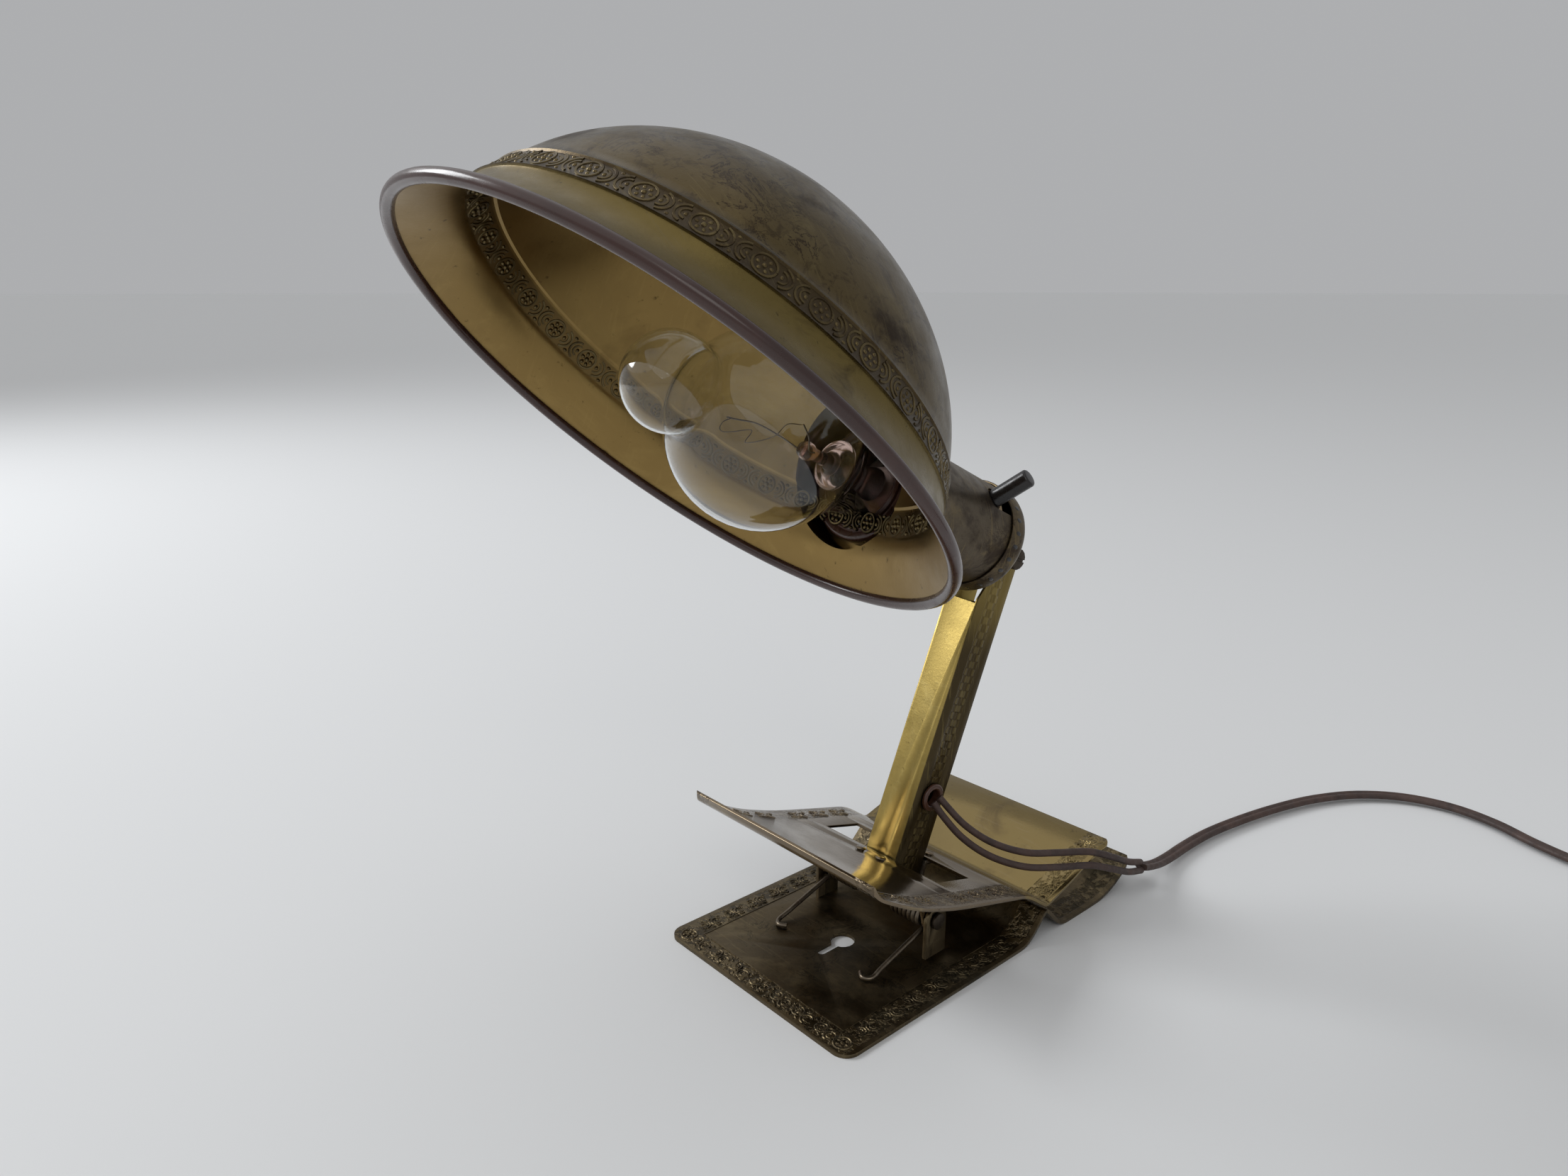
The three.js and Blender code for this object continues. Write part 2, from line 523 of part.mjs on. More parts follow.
function socketCore() {
  const disc = lathe([[0, CORE_BACK], [coreRadius, CORE_BACK], [coreRadius, CORE_FRONT], [0, CORE_FRONT]]);
  let core = disc;
  for (const side of [-1, 1]) {
    core = core.subtract(rod(1.9 + GAP, 12, shift(side * 9, 0, CORE_BACK), 16));
    core = core.subtract(rod(3.1 + GAP, 4, shift(side * 9, 0, CORE_BACK)));
  }
  return core;
}

// ---- shade ----------------------------------------------------------------------------------
/** The shade's outer profile, from the rim up to the crown, drawn in by a wall where asked. */
function shadeProfile(inset) {
  const points = [];
  for (let i = 0; i < 3; i += 1) { // the flared skirt
    const t = i / 3;
    const r = THREE.MathUtils.lerp(SHADE_RIM, SKIRT_TOP.r, 1 - (1 - t) ** 1.7);
    points.push([r - inset, SKIRT_TOP.h * t]);
  }
  points.push([SKIRT_TOP.r - inset, SKIRT_TOP.h], [BAND_TOP.r - inset, BAND_TOP.h]);
  const top = SHADE_HEIGHT - inset;
  const steps = 9;
  const start = 0.18;
  for (let i = 0; i < steps; i += 1) { // the dome
    const angle = (Math.PI / 2) * THREE.MathUtils.lerp(start, 1, i / steps);
    points.push([
      (DOME_RADIUS - inset) * Math.cos(angle) ** (2 / DOME_POWER),
      DOME_FOOT + (top - DOME_FOOT) * Math.sin(angle) ** (2 / DOME_POWER),
    ]);
  }
  return [...points, [0, top]];
}

function shadeDome() {
  const turned = shift(0, -SHADE_DROP, SHADE_AHEAD).multiply(turnX(SHADE_TURN));
  const outside = shadeProfile(0);
  const inside = shadeProfile(SHADE_WALL);
  const reach = 30;
  const mid = SEAT_BACK + reach / 2;
  let outer = lathe([[0, 0], ...outside], SHADE_SEGMENTS, turned);
  outer = outer.add(rod(POCKET_RADIUS, reach, shift(0, 0, mid)));
  let inner = lathe([[0, -2], [inside[0][0], -2], ...inside], SHADE_SEGMENTS, turned);
  inner = inner.add(rod(POCKET_RADIUS - SHADE_WALL, reach, shift(0, 0, mid + SHADE_WALL)));
  const below = box(400, 400, 60, turned.clone().multiply(shift(0, 0, -30)));
  const hole = rod(COLLAR_RADIUS + GAP, 20, shift(0, 0, SEAT_BACK));
  return outer.subtract(inner).subtract(hole).subtract(below);
}
const SEAT_BACK = SHELL_END + GAP;
const SHADE_SEGMENTS = 40;

/** The rolled bead round the rim: a round bar with a groove for the shade's flared edge. */
function rimBead() {
  const turned = shift(0, -SHADE_DROP, SHADE_AHEAD).multiply(turnX(SHADE_TURN));
  const centre = SHADE_RIM - SHADE_WALL / 2;
  const section = [];
  const steps = 7;
  for (let i = 0; i < steps; i += 1) {
    const angle = (2 * Math.PI * i) / steps;
    section.push([centre + BEAD_RADIUS * Math.cos(angle), BEAD_RADIUS * Math.sin(angle)]);
  }
  const [rim, next] = shadeProfile(0);
  const flare = (rim[0] - next[0]) / next[1];
  const air = GAP * Math.hypot(flare, 1);
  const wall = (h, offset) => [rim[0] - flare * h + offset, h];
  const top = 1.4 * BEAD_RADIUS;
  const groove = lathe([wall(-GAP, air), wall(top, air), wall(top, -SHADE_WALL - air),
    wall(-GAP, -SHADE_WALL - air)], SHADE_SEGMENTS, turned);
  return lathe(section, SHADE_SEGMENTS, turned).subtract(groove);
}

// ---- bulb -----------------------------------------------------------------------------------
/** The glass's profile: neck, bulge, waist and round head, drawn in by a wall where asked. */
function glassProfile(inset) {
  const neck = [[BULB_NECK_RADIUS, 62], [BULB_NECK_RADIUS + 0.3, 71], [BULB_NECK_RADIUS + 1.3, 80], [BULB_NECK_RADIUS + 5, 92]];
  const points = neck.map(([r, h]) => [r - inset, h]);
  const bulge = BULGE_RADIUS - inset;
  for (let i = 0; i <= 6; i += 1) {
    const angle = THREE.MathUtils.degToRad(-48 + (i * 112) / 6);
    points.push([bulge * Math.cos(angle), BULGE_AT + bulge * Math.sin(angle)]);
  }
  const head = GLASS_HEAD_RADIUS - inset;
  for (let i = 0; i <= 5; i += 1) {
    const angle = THREE.MathUtils.degToRad(-26 + (i * 116) / 5);
    const r = i === 5 ? 0 : head * Math.cos(angle);
    points.push([r, GLASS_HEAD_AT + head * Math.sin(angle)]);
  }
  return points;
}

function bulbGlass() {
  return lathe([...glassProfile(0), ...glassProfile(GLASS_WALL).reverse()], 22);
}

function bulbBase() {
  const wall = 0.45;
  const start = BULB_TIP + 4.4;
  return lathe([[BULB_BASE_RADIUS - 3.5, start], [BULB_BASE_RADIUS, start + 2.6], [BULB_BASE_RADIUS, BULB_BASE_END],
    [BULB_BASE_RADIUS - wall, BULB_BASE_END], [BULB_BASE_RADIUS - wall, start + 2.8], [BULB_BASE_RADIUS - 3.8, start + wall]], 26);
}

function bulbStem() {
  return lathe([[0, 66], [BULB_NECK_RADIUS - 1, 66], [7.4, 74], [4.2, 84], [3.6, 92], [8.6, 95.4], [8.6, 96.6], [2.6, 98.6],
    [2, 107], [3, 109], [3, 111], [0, 113.2]], 16);
}

const SUPPORT_PATHS = {
  left: [[-3.6, 0, 110], [-7.5, 1.5, 116], [-12.5, 2.5, 123], [-15.5, 0.5, 131]],
  right: [[3.6, 0, 110], [8.5, -1, 117], [14, 1.5, 124], [17.5, 3.5, 131]],
};
const FILAMENT_PATH = [[-14.3, 0.5, 130.6], [-13, -2, 134], [-9, -5, 136.5], [-3, -1.5, 131.5], [3.5, -6.5, 137],
  [9, -2, 132.5], [14.5, 2, 134], [16.3, 3.4, 130.6]];

// ---- assembly -------------------------------------------------------------------------------
const lamp = new THREE.Group();
const put = (group, name, source, finish) => group.add(piece(name, source, ...finish));

const pinLength = 2 * (BASE_EAR_INSIDE + EAR_THICK + GAP);
put(lamp, 'base_plate', basePlate(), DARK_BRASS);
put(lamp, 'hinge_pin', rod(PIN_RADIUS, pinLength + 2 * PIN_HEAD_THICK, lyingX(0, 0, PIN_Z))
  .add(rod(PIN_HEAD_RADIUS, PIN_HEAD_THICK, lyingX((pinLength + PIN_HEAD_THICK) / 2, 0, PIN_Z)))
  .add(rod(PIN_HEAD_RADIUS, PIN_HEAD_THICK, lyingX(-(pinLength + PIN_HEAD_THICK) / 2, 0, PIN_Z))), STEEL);
put(lamp, 'jaw_plate', jawPlate(), BRASS);
for (const [name, side] of [['left', -1], ['right', 1]]) {
  put(lamp, `spring_coil_${name}`, sweep(coilPoints(side), SPRING_WIRE, 68, 5), STEEL);
  put(lamp, `spring_leg_${name}`, sweep(legPoints(side), SPRING_WIRE, 14, 6), STEEL);
}
for (const [name, end] of [['front', -1], ['back', 1]]) put(lamp, `pivot_cheek_${name}`, cheek(end), STEEL);
rivetPlaces().forEach((at, i) => put(lamp, `cheek_rivet_${i + 1}`, rivet(at), BRASS));

const arm = new THREE.Group();
arm.applyMatrix4(armFrame);
lamp.add(arm);
const cheekOut = ARM_DEPTH / 2 + SLOT_FIT + CHEEK_THICK + 2 * GAP;
put(arm, 'arm_tube', armTube(), BRASS);
put(arm, 'arm_grommet', grommet(), DARK_BRASS);
put(arm, 'pivot_bush', tubeRing(PIVOT_SCREW_RADIUS + PIN_FIT, 3.6, -ARM_DEPTH / 2 + ARM_WALL + GAP,
  ARM_DEPTH / 2 - ARM_WALL - GAP, 20).transform(turnX(Math.PI / 2).elements), STEEL);
put(lamp, 'arm_pivot_screw', slottedScrew(PIVOT_SCREW_RADIUS, 2 * cheekOut + 2.6, 2.3, 1,
  arm2world.clone().multiply(shift(0, cheekOut + 2.6, 0)).multiply(turnX(Math.PI / 2))), STEEL);
put(lamp, 'arm_pivot_nut', hexNut(PIVOT_SCREW_RADIUS + GAP, 5, 1.8,
  arm2world.clone().multiply(lyingY(0, cheekOut + 1, 0))), STEEL);

const head = new THREE.Group();
const headPivot = shift(0, HEAD_BEHIND, ARM_LENGTH);
head.applyMatrix4(headPivot.clone().multiply(turnX(ARM_LEAN + HEAD_TURN)));
arm.add(head);
const socket = new THREE.Group(); // the frame of the socket's axis
socket.position.y = HEAD_RISE;
head.add(socket);
const washerMid = BLOCK_HALF + GAP + WASHER_THICK / 2;
put(head, 'swivel_block', swivelBlock(), BRASS);
for (const [name, side] of [['left', -1], ['right', 1]]) {
  put(head, `swivel_washer_${name}`, tubeRing(HEAD_SCREW_RADIUS + PIN_FIT, 5, -WASHER_THICK / 2, WASHER_THICK / 2, 16)
    .transform(lyingX(side * washerMid, 0, 0).elements), STEEL);
}
const armSide = ARM_WIDTH / 2 + GAP;
put(arm, 'head_screw', slottedScrew(HEAD_SCREW_RADIUS, 2 * armSide + 3.2, 4.1, 3.4,
  headPivot.clone().multiply(lyingX(-armSide - 3.2, 0, 0))), STEEL);
put(arm, 'head_nut', hexNut(HEAD_SCREW_RADIUS + GAP, 7, 2.6,
  headPivot.clone().multiply(lyingX(-armSide - 1.3, 0, 0))), STEEL);
put(socket, 'cap_locknut', hexNut(NIPPLE_RADIUS + GAP, 11, 2.4, shift(0, 0, CAP_BACK + 1 + CAP_WALL + GAP + 1.2)), STEEL);
put(socket, 'socket_cap', socketCap(), DARK_BRASS);
put(socket, 'socket_shell', socketShell(), DARK_BRASS);
put(socket, 'liner_sleeve', linerSleeve(), [0xb09a70, 0.9, 0]);
put(socket, 'switch_block', switchBlock(), BAKELITE);
put(socket, 'socket_core', socketCore(), BAKELITE);
for (const [name, side] of [['left', -1], ['right', 1]]) {
  put(socket, `terminal_screw_${name}`, slottedScrew(1.9, 3.9, 3.1, 1.2,
    shift(side * 9, 0, CORE_BACK + 5.6).multiply(turnX(Math.PI))), BRASS);
}
put(socket, 'screw_shell', screwShell(), BRASS);
put(socket, 'centre_contact', lathe([[0, CORE_FRONT + GAP], [4.4, CORE_FRONT + GAP], [3, BULB_TIP - GAP],
  [0, BULB_TIP - GAP]], 20), BRASS);
put(socket, 'socket_collar', tubeRing(LAMP_SHELL_RADIUS + GAP, COLLAR_RADIUS, COLLAR_START, SHELL_END + 10), BAKELITE);
const rodLength = 2 * SHELL_RADIUS + ROD_PROUD - 0.6;
put(socket, 'push_rod', lathe([[0, 0], [ROD_RADIUS - 0.5, 0], [ROD_RADIUS, 0.5], [ROD_RADIUS, rodLength - 0.5],
  [ROD_RADIUS - 0.5, rodLength], [0, rodLength]], 24, rodFrame.clone().multiply(shift(0, 0, -SHELL_RADIUS + 0.6))), BLACK);

put(socket, 'shade_dome', shadeDome(), BRASS);
put(socket, 'rim_bead', rimBead(), BEAD);
put(socket, 'shade_ring', tubeRing(COLLAR_RADIUS + GAP, RING_RADIUS, SEAT_BACK + SHADE_WALL + GAP, SHELL_END + 8.4), BAKELITE);

put(socket, 'bulb_glass', bulbGlass(), GLASS);
put(socket, 'bulb_base', bulbBase(), [0xb8b2a4, 0.35, 1]);
put(socket, 'bulb_insulator', lathe([[0, BULB_TIP + 1.4], [4.6, BULB_TIP + 1.4], [BULB_BASE_RADIUS - 4.2, BULB_TIP + 4.4],
  [0, BULB_TIP + 4.4]], 24), BLACK);
put(socket, 'bulb_contact', lathe([[0, BULB_TIP], [3.4, BULB_TIP], [4.2, BULB_TIP + 1.1], [0, BULB_TIP + 1.1]], 20), STEEL);
put(socket, 'bulb_stem', bulbStem(), GLASS);
put(socket, 'support_wire_left', sweep(SUPPORT_PATHS.left, 0.4, 8, 6), STEEL);
put(socket, 'support_wire_right', sweep(SUPPORT_PATHS.right, 0.4, 8, 6), STEEL);
put(socket, 'filament', sweep(FILAMENT_PATH, 0.4, 18, 6), STEEL);

// ---- cord -----------------------------------------------------------------------------------
/** One of the two split wires: the leads' middle line, moved square to itself to one side. */
function splitWire(side) {
  const middle = new THREE.CatmullRomCurve3(LEAD_POINTS.map((p) => v3(...p)), false, 'centripetal');
  const points = middle.getPoints(16).map((point, i) => {
    const along = middle.getTangent(i / 16);
    const aside = v3(-0.35, 0.45, 0.8);
    aside.addScaledVector(along, -aside.dot(along)).normalize();
    const spread = WIRE_RADIUS + 0.25 + 1.1 * Math.sin((Math.PI * i) / 16);
    return point.addScaledVector(aside, side * spread).toArray();
  });
  return sweep(points, WIRE_RADIUS, 24, 8);
}

put(lamp, 'cord_wire_upper', splitWire(1), RUBBER);
put(lamp, 'cord_wire_lower', splitWire(-1), RUBBER);
put(lamp, 'zip_cord', sweep(CORD_POINTS, CORD_WIDTH / 2, 40, 8), RUBBER);
const coilRing = [[COIL_MEAN - COIL_HALF_WIDTH, 0.2], [COIL_MEAN + COIL_HALF_WIDTH, 0.2],
  [COIL_MEAN + COIL_HALF_WIDTH, COIL_HEIGHT], [COIL_MEAN - COIL_HALF_WIDTH, COIL_HEIGHT]];
put(lamp, 'cord_coil', lathe(coilRing, 40, shift(COIL_CENTRE[0], COIL_CENTRE[1], 0)), RUBBER);

const plug = new THREE.Group();
plug.position.set(PLUG_AT[0], PLUG_AT[1], 0);
plug.rotation.z = PLUG_TURN;
lamp.add(plug);
const plugOutline = new THREE.Shape([v2(-12, -10), v2(8, -12), v2(12, -10), v2(12, 10), v2(8, 12), v2(-12, 10)]);
let plugBody = solid(new THREE.ExtrudeGeometry(plugOutline, { depth: 15, bevelEnabled: false }), shift(0, 0, 0.2));
for (const side of [-1, 1]) plugBody = plugBody.subtract(box(9, 2.1, 7.1, shift(12, side * 6.35, 7.7)));
put(plug, 'plug_body', plugBody, BAKELITE);
for (const [name, side] of [['left', -1], ['right', 1]]) {
  put(plug, `plug_blade_${name}`, box(22, 1.5, 6.35, shift(19, side * 6.35, 7.7)), BRASS);
}

export default lamp;
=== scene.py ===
"""A clip-on lamp of worn brass: its clamp, arm, socket, shade, bulb and cord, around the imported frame."""

import json
import logging
import math
from dataclasses import dataclass
from enum import Enum
from typing import Callable, Sequence

import bmesh
import bpy
from mathutils import Euler, Matrix, Vector

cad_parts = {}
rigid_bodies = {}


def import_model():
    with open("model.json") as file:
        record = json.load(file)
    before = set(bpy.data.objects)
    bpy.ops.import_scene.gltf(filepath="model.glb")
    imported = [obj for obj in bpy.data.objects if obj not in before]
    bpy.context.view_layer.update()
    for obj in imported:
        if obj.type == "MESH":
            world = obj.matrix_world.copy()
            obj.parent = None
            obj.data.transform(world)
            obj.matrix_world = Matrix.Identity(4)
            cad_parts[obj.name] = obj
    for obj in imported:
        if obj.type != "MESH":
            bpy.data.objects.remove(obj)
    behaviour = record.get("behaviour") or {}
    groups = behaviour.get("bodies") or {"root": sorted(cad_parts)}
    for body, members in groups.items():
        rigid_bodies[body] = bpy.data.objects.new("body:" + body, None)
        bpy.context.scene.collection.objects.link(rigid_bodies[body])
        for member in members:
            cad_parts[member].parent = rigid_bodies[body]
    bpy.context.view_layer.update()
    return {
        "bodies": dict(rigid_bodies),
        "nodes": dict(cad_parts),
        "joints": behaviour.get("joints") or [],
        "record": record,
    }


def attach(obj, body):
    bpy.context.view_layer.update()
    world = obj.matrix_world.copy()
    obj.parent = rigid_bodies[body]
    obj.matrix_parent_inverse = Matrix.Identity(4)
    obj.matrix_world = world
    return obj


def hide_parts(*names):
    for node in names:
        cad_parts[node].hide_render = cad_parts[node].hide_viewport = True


log = logging.getLogger("clip_lamp")
MM = 0.001
Colour = tuple[float, float, float]
Profile = list[tuple[float, float]]


# ---- places ---------------------------------------------------------------------------------
@dataclass(frozen=True)
class Places:
    """The frames of the arm, head and shade, in millimetres, as the part's own sizes give them."""

    slot_y: float = 8.7
    plate_at_slot: float = 27.8
    pivot_depth: float = 4.0
    lean: float = math.radians(20)
    arm_length: float = 125.5
    head_behind: float = 3.4
    arm_swung: float = math.radians(3)
    head_turn: float = math.radians(64.9)
    head_rise: float = 2.0
    rod_at: float = 30.6
    rod_azimuth: float = math.radians(43)
    shade_drop: float = 10.0
    shade_ahead: float = 162.0
    shade_turn: float = math.radians(-106.9)

    def arm(self) -> Matrix:
        """The arm's frame: the origin on its pivot, Z up the arm."""
        y = self.slot_y - self.pivot_depth * math.sin(self.lean)
        z = self.plate_at_slot - self.pivot_depth * math.cos(self.lean)
        return (Matrix.Translation((0, y, z)) @ Matrix.Rotation(-self.lean, 4, "X")
                @ Matrix.Rotation(self.arm_swung, 4, "Y"))

    def head(self) -> Matrix:
        """The socket's frame: Z along its axis, which passes above the head screw."""
        screw = self.arm() @ Matrix.Translation((0, self.head_behind, self.arm_length))
        turn = Matrix.Rotation(self.lean + self.head_turn, 4, "X")
        return screw @ turn @ Matrix.Translation((0, self.head_rise, 0))

    def rod(self) -> Matrix:
        """The push rod's frame: Z out along the rod, the origin on the socket's axis."""
        turn = Matrix.Rotation(self.rod_azimuth, 4, "Z") @ Matrix.Rotation(math.pi / 2, 4, "Y")
        return self.head() @ Matrix.Translation((0, 0, self.rod_at)) @ turn

    def shade(self) -> Matrix:
        """The shade's frame: the origin at the rim's middle, Z up to the crown."""
        move = Matrix.Translation((0, -self.shade_drop, self.shade_ahead))
        return self.head() @ move @ Matrix.Rotation(self.shade_turn, 4, "X")


PLACES = Places()


# ---- mesh making ----------------------------------------------------------------------------
def to_object(bm: bmesh.types.BMesh, name: str, place: Matrix | None = None) -> bpy.types.Object:
    """Makes an object of a bmesh in millimetres.

    Args:
        bm: The shape, which is freed.
        name: The object's name.
        place: Where the shape goes in the row frame, in millimetres.

    Returns:
        The new object, at the origin with its place in its mesh, in metres.
    """
    scale = Matrix.Scale(MM, 4)
    bmesh.ops.transform(bm, matrix=scale @ (place or Matrix.Identity(4)), verts=bm.verts[:])
    mesh = bpy.data.meshes.new(name)
    bm.to_mesh(mesh)
    bm.free()
    obj = bpy.data.objects.new(name, mesh)
    bpy.context.scene.collection.objects.link(obj)
    return obj


def smooth(obj: bpy.types.Object, angle: float = 35.0) -> bpy.types.Object:
    """Shades the object smooth, with edges over the angle (degrees) kept sharp."""
    mesh = obj.data
    mesh.polygons.foreach_set("use_smooth", [True] * len(mesh.polygons))
    mesh.set_sharp_from_angle(angle=math.radians(angle))
    return obj


def turned_bm(profile: Profile, steps: int = 96, closed: bool = True) -> bmesh.types.BMesh:
    """Spins a profile of (radius, height) about Z.

    Args:
        profile: The section's corners.
        steps: How many steps the full turn takes.
        closed: Whether the section closes on itself, as a ring's does.

    Returns:
        A closed bmesh with its faces pointing out.
    """
    bm = bmesh.new()
    verts = [bm.verts.new((r, 0, h)) for r, h in profile]
    edges = [bm.edges.new(pair) for pair in zip(verts, verts[1:])]
    if closed:
        edges.append(bm.edges.new((verts[-1], verts[0])))
    bmesh.ops.spin(
        bm, geom=verts + edges, cent=(0, 0, 0), axis=(0, 0, 1),
        angle=2 * math.pi, steps=steps, use_merge=True,
    )
    bmesh.ops.remove_doubles(bm, verts=bm.verts[:], dist=1e-4)
    bmesh.ops.recalc_face_normals(bm, faces=bm.faces[:])
    if bm.calc_volume(signed=True) < 0:
        bmesh.ops.reverse_faces(bm, faces=bm.faces[:])
    return bm


def turned(
    name: str, profile: Profile, place: Matrix, steps: int = 96, closed: bool = True, sharp: float = 35.0
) -> bpy.types.Object:
    """A smooth turned piece, spun from its profile and put in its place."""
    return smooth(to_object(turned_bm(profile, steps, closed), name, place), sharp)


def arc(r: float, h: float, radius: float, start: float, end: float, steps: int = 6) -> Profile:
    """Points on a round of the profile about (r, h), from one angle to another in degrees."""
    angles = [math.radians(start + (end - start) * i / steps) for i in range(steps + 1)]
    return [(r + radius * math.cos(a), h + radius * math.sin(a)) for a in angles]


def softened(node: str, name: str, width: float, segments: int = 2) -> bpy.types.Object:
    """A copy of a CAD node with its facets joined and its edges rounded.

    Args:
        node: The CAD node, which the copy replaces.
        name: The new object's name.
        width: The rounding's width in millimetres.
        segments: The rounding's steps.

    Returns:
        The new object, which stands for the node.
    """
    source = bpy.data.objects[node]
    bm = bmesh.new()
    bm.from_mesh(source.data)
    bmesh.ops.remove_doubles(bm, verts=bm.verts[:], dist=1e-6)
    bmesh.ops.dissolve_limit(bm, angle_limit=math.radians(1.0), verts=bm.verts[:], edges=bm.edges[:])
    bmesh.ops.scale(bm, vec=(1 / MM,) * 3, verts=bm.verts[:])
    sharp = [e for e in bm.edges if len(e.link_faces) == 2 and e.calc_face_angle(0) > math.radians(40)]
    bmesh.ops.bevel(
        bm, geom=sharp, offset=width, offset_type="OFFSET", segments=segments, profile=0.5,
        affect="EDGES", clamp_overlap=True, material=-1, loop_slide=True,
    )
    obj = smooth(to_object(bm, name), 30)
    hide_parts(node)
    return obj


def combine(target: bpy.types.Object, tool: bpy.types.Object, how: str) -> None:
    """Applies one boolean to the target and removes the tool.

    Args:
        target: The object that is cut or added to.
        tool: The other shape.
        how: UNION or DIFFERENCE.
    """
    made = target.modifiers.new("cut", "BOOLEAN")
    made.operation = how
    made.solver = "MANIFOLD"
    made.object = tool
    bpy.context.view_layer.update()
    mesh = bpy.data.meshes.new_from_object(target.evaluated_get(bpy.context.evaluated_depsgraph_get()))
    target.modifiers.clear()
    target.data = mesh
    bpy.data.objects.remove(tool)


def wire(name: str, points: Sequence[Vector], radius: float, resolution: int = 4) -> bpy.types.Object:
    """A round wire through points, in millimetres, as one curve."""
    data = bpy.data.curves.new(name, "CURVE")
    data.dimensions = "3D"
    data.bevel_depth = radius * MM
    data.bevel_resolution = resolution
    data.use_fill_caps = True
    line = data.splines.new("POLY")
    line.points.add(len(points) - 1)
    for point, at in zip(line.points, points):
        point.co = (*(at * MM), 1)
    line.use_smooth = True
    obj = bpy.data.objects.new(name, data)
    bpy.context.scene.collection.objects.link(obj)
    return obj


def smooth_path(points: Sequence[Vector], per_span: int = 8) -> list[Vector]:
    """A centripetal Catmull-Rom line through points.

    Args:
        points: What the line goes through.
        per_span: How many steps each span takes.

    Returns:
        The line's points, ends included.
    """
    pts = [2 * points[0] - points[1], *points, 2 * points[-1] - points[-2]]
    line: list[Vector] = []
    for p0, p1, p2, p3 in zip(pts, pts[1:], pts[2:], pts[3:]):
        knots = [0.0]
        for a, b in ((p0, p1), (p1, p2), (p2, p3)):
            knots.append(knots[-1] + math.sqrt((b - a).length))
        t0, t1, t2, t3 = knots
        for i in range(per_span):
            t = t1 + (t2 - t1) * i / per_span
            a1 = p0 * ((t1 - t) / (t1 - t0)) + p1 * ((t - t0) / (t1 - t0))
            a2 = p1 * ((t2 - t) / (t2 - t1)) + p2 * ((t - t1) / (t2 - t1))
            a3 = p2 * ((t3 - t) / (t3 - t2)) + p3 * ((t - t2) / (t3 - t2))
            b1 = a1 * ((t2 - t) / (t2 - t0)) + a2 * ((t - t0) / (t2 - t0))
            b2 = a2 * ((t3 - t) / (t3 - t1)) + a3 * ((t - t1) / (t3 - t1))
            line.append(b1 * ((t2 - t) / (t2 - t1)) + b2 * ((t - t1) / (t2 - t1)))
    line.append(points[-1].copy())
    return line


def swept_bm(path: Sequence[Vector], section: Profile, up: Vector) -> bmesh.types.BMesh:
    """Sweeps a closed section along a path, kept level with the up direction.

    Args:
        path: The line, in millimetres.
        section: The section's corners, as (aside, up).
        up: The direction that the section's second axis leans to.

    Returns:
        A closed tube.
    """
    bm = bmesh.new()
    rings: list[list[bmesh.types.BMVert]] = []
    for i, at in enumerate(path):
        along = (path[min(i + 1, len(path) - 1)] - path[max(i - 1, 0)]).normalized()
        aside = along.cross(up).normalized()
        rise = aside.cross(along)
        rings.append([bm.verts.new(at + aside * a + rise * b) for a, b in section])
    edges = [[bm.edges.new((ring[k - 1], ring[k])) for k in range(len(ring))] for ring in rings]
    for low, high in zip(edges, edges[1:]):
        bmesh.ops.bridge_loops(bm, edges=low + high)
    bmesh.ops.holes_fill(bm, edges=edges[0] + edges[-1], sides=0)
    bmesh.ops.recalc_face_normals(bm, faces=bm.faces[:])
    return bm


# ---- pressed relief -------------------------------------------------------------------------
def raised_dot(bm: bmesh.types.BMesh, at: tuple[float, float], size: tuple[float, float, float], turn: float,
               tile: Matrix) -> None:
    """Adds one rounded dot to a relief.

    Args:
        bm: The relief.
        at: Its middle on the tile, in millimetres.
        size: Its half sizes along, across and out.
        turn: How far it is turned on the tile, in radians.
        tile: The tile's frame: X along the border, Y across it, Z out.
    """
    matrix = tile @ Matrix.Translation((*at, 0)) @ Matrix.Rotation(turn, 4, "Z") @ Matrix.Diagonal((*size, 1))
    bmesh.ops.create_icosphere(bm, subdivisions=2, radius=1, matrix=matrix)


def raised_line(bm: bmesh.types.BMesh, path: Sequence[Vector], thick: float, tile: Matrix) -> None:
    """Adds one raised line to a relief, along a path on the tile."""
    part = swept_bm(path, arc(0, 0, thick, 0, 300, 5), Vector((0, 0, 1)))
    bmesh.ops.transform(part, matrix=tile, verts=part.verts[:])
    mesh = bpy.data.meshes.new("line")
    part.to_mesh(mesh)
    part.free()
    bm.from_mesh(mesh)
    bpy.data.meshes.remove(mesh)


def curl(bm: bmesh.types.BMesh, at: tuple[float, float], radius: float, span: tuple[float, float],
         thick: float, tile: Matrix) -> None:
    """Adds one raised arc to a relief, from one angle to another in degrees."""
    steps = max(6, round(abs(span[1] - span[0]) / 18))
    raised_line(bm, [Vector((x, y, 0.12)) for x, y in arc(*at, radius, *span, steps)], thick, tile)


def scroll(bm: bmesh.types.BMesh, tile: Matrix) -> None:
    """Adds one tile of a border: two curls that run into each other, with leaves."""
    for side in (-1, 1):
        at = (side * 2.5, -side * 0.5)
        start = 210 if side < 0 else 30
        curl(bm, at, 2.2, (start, start + 250), 0.42, tile)
        curl(bm, at, 1.05, (start + 60, start + 290), 0.36, tile)
        raised_dot(bm, (side * 0.9, side * 2.5), (1.2, 0.5, 0.45), side * 0.5, tile)
        raised_dot(bm, (side * 4.9, side * 2.3), (0.9, 0.42, 0.4), -side * 0.7, tile)


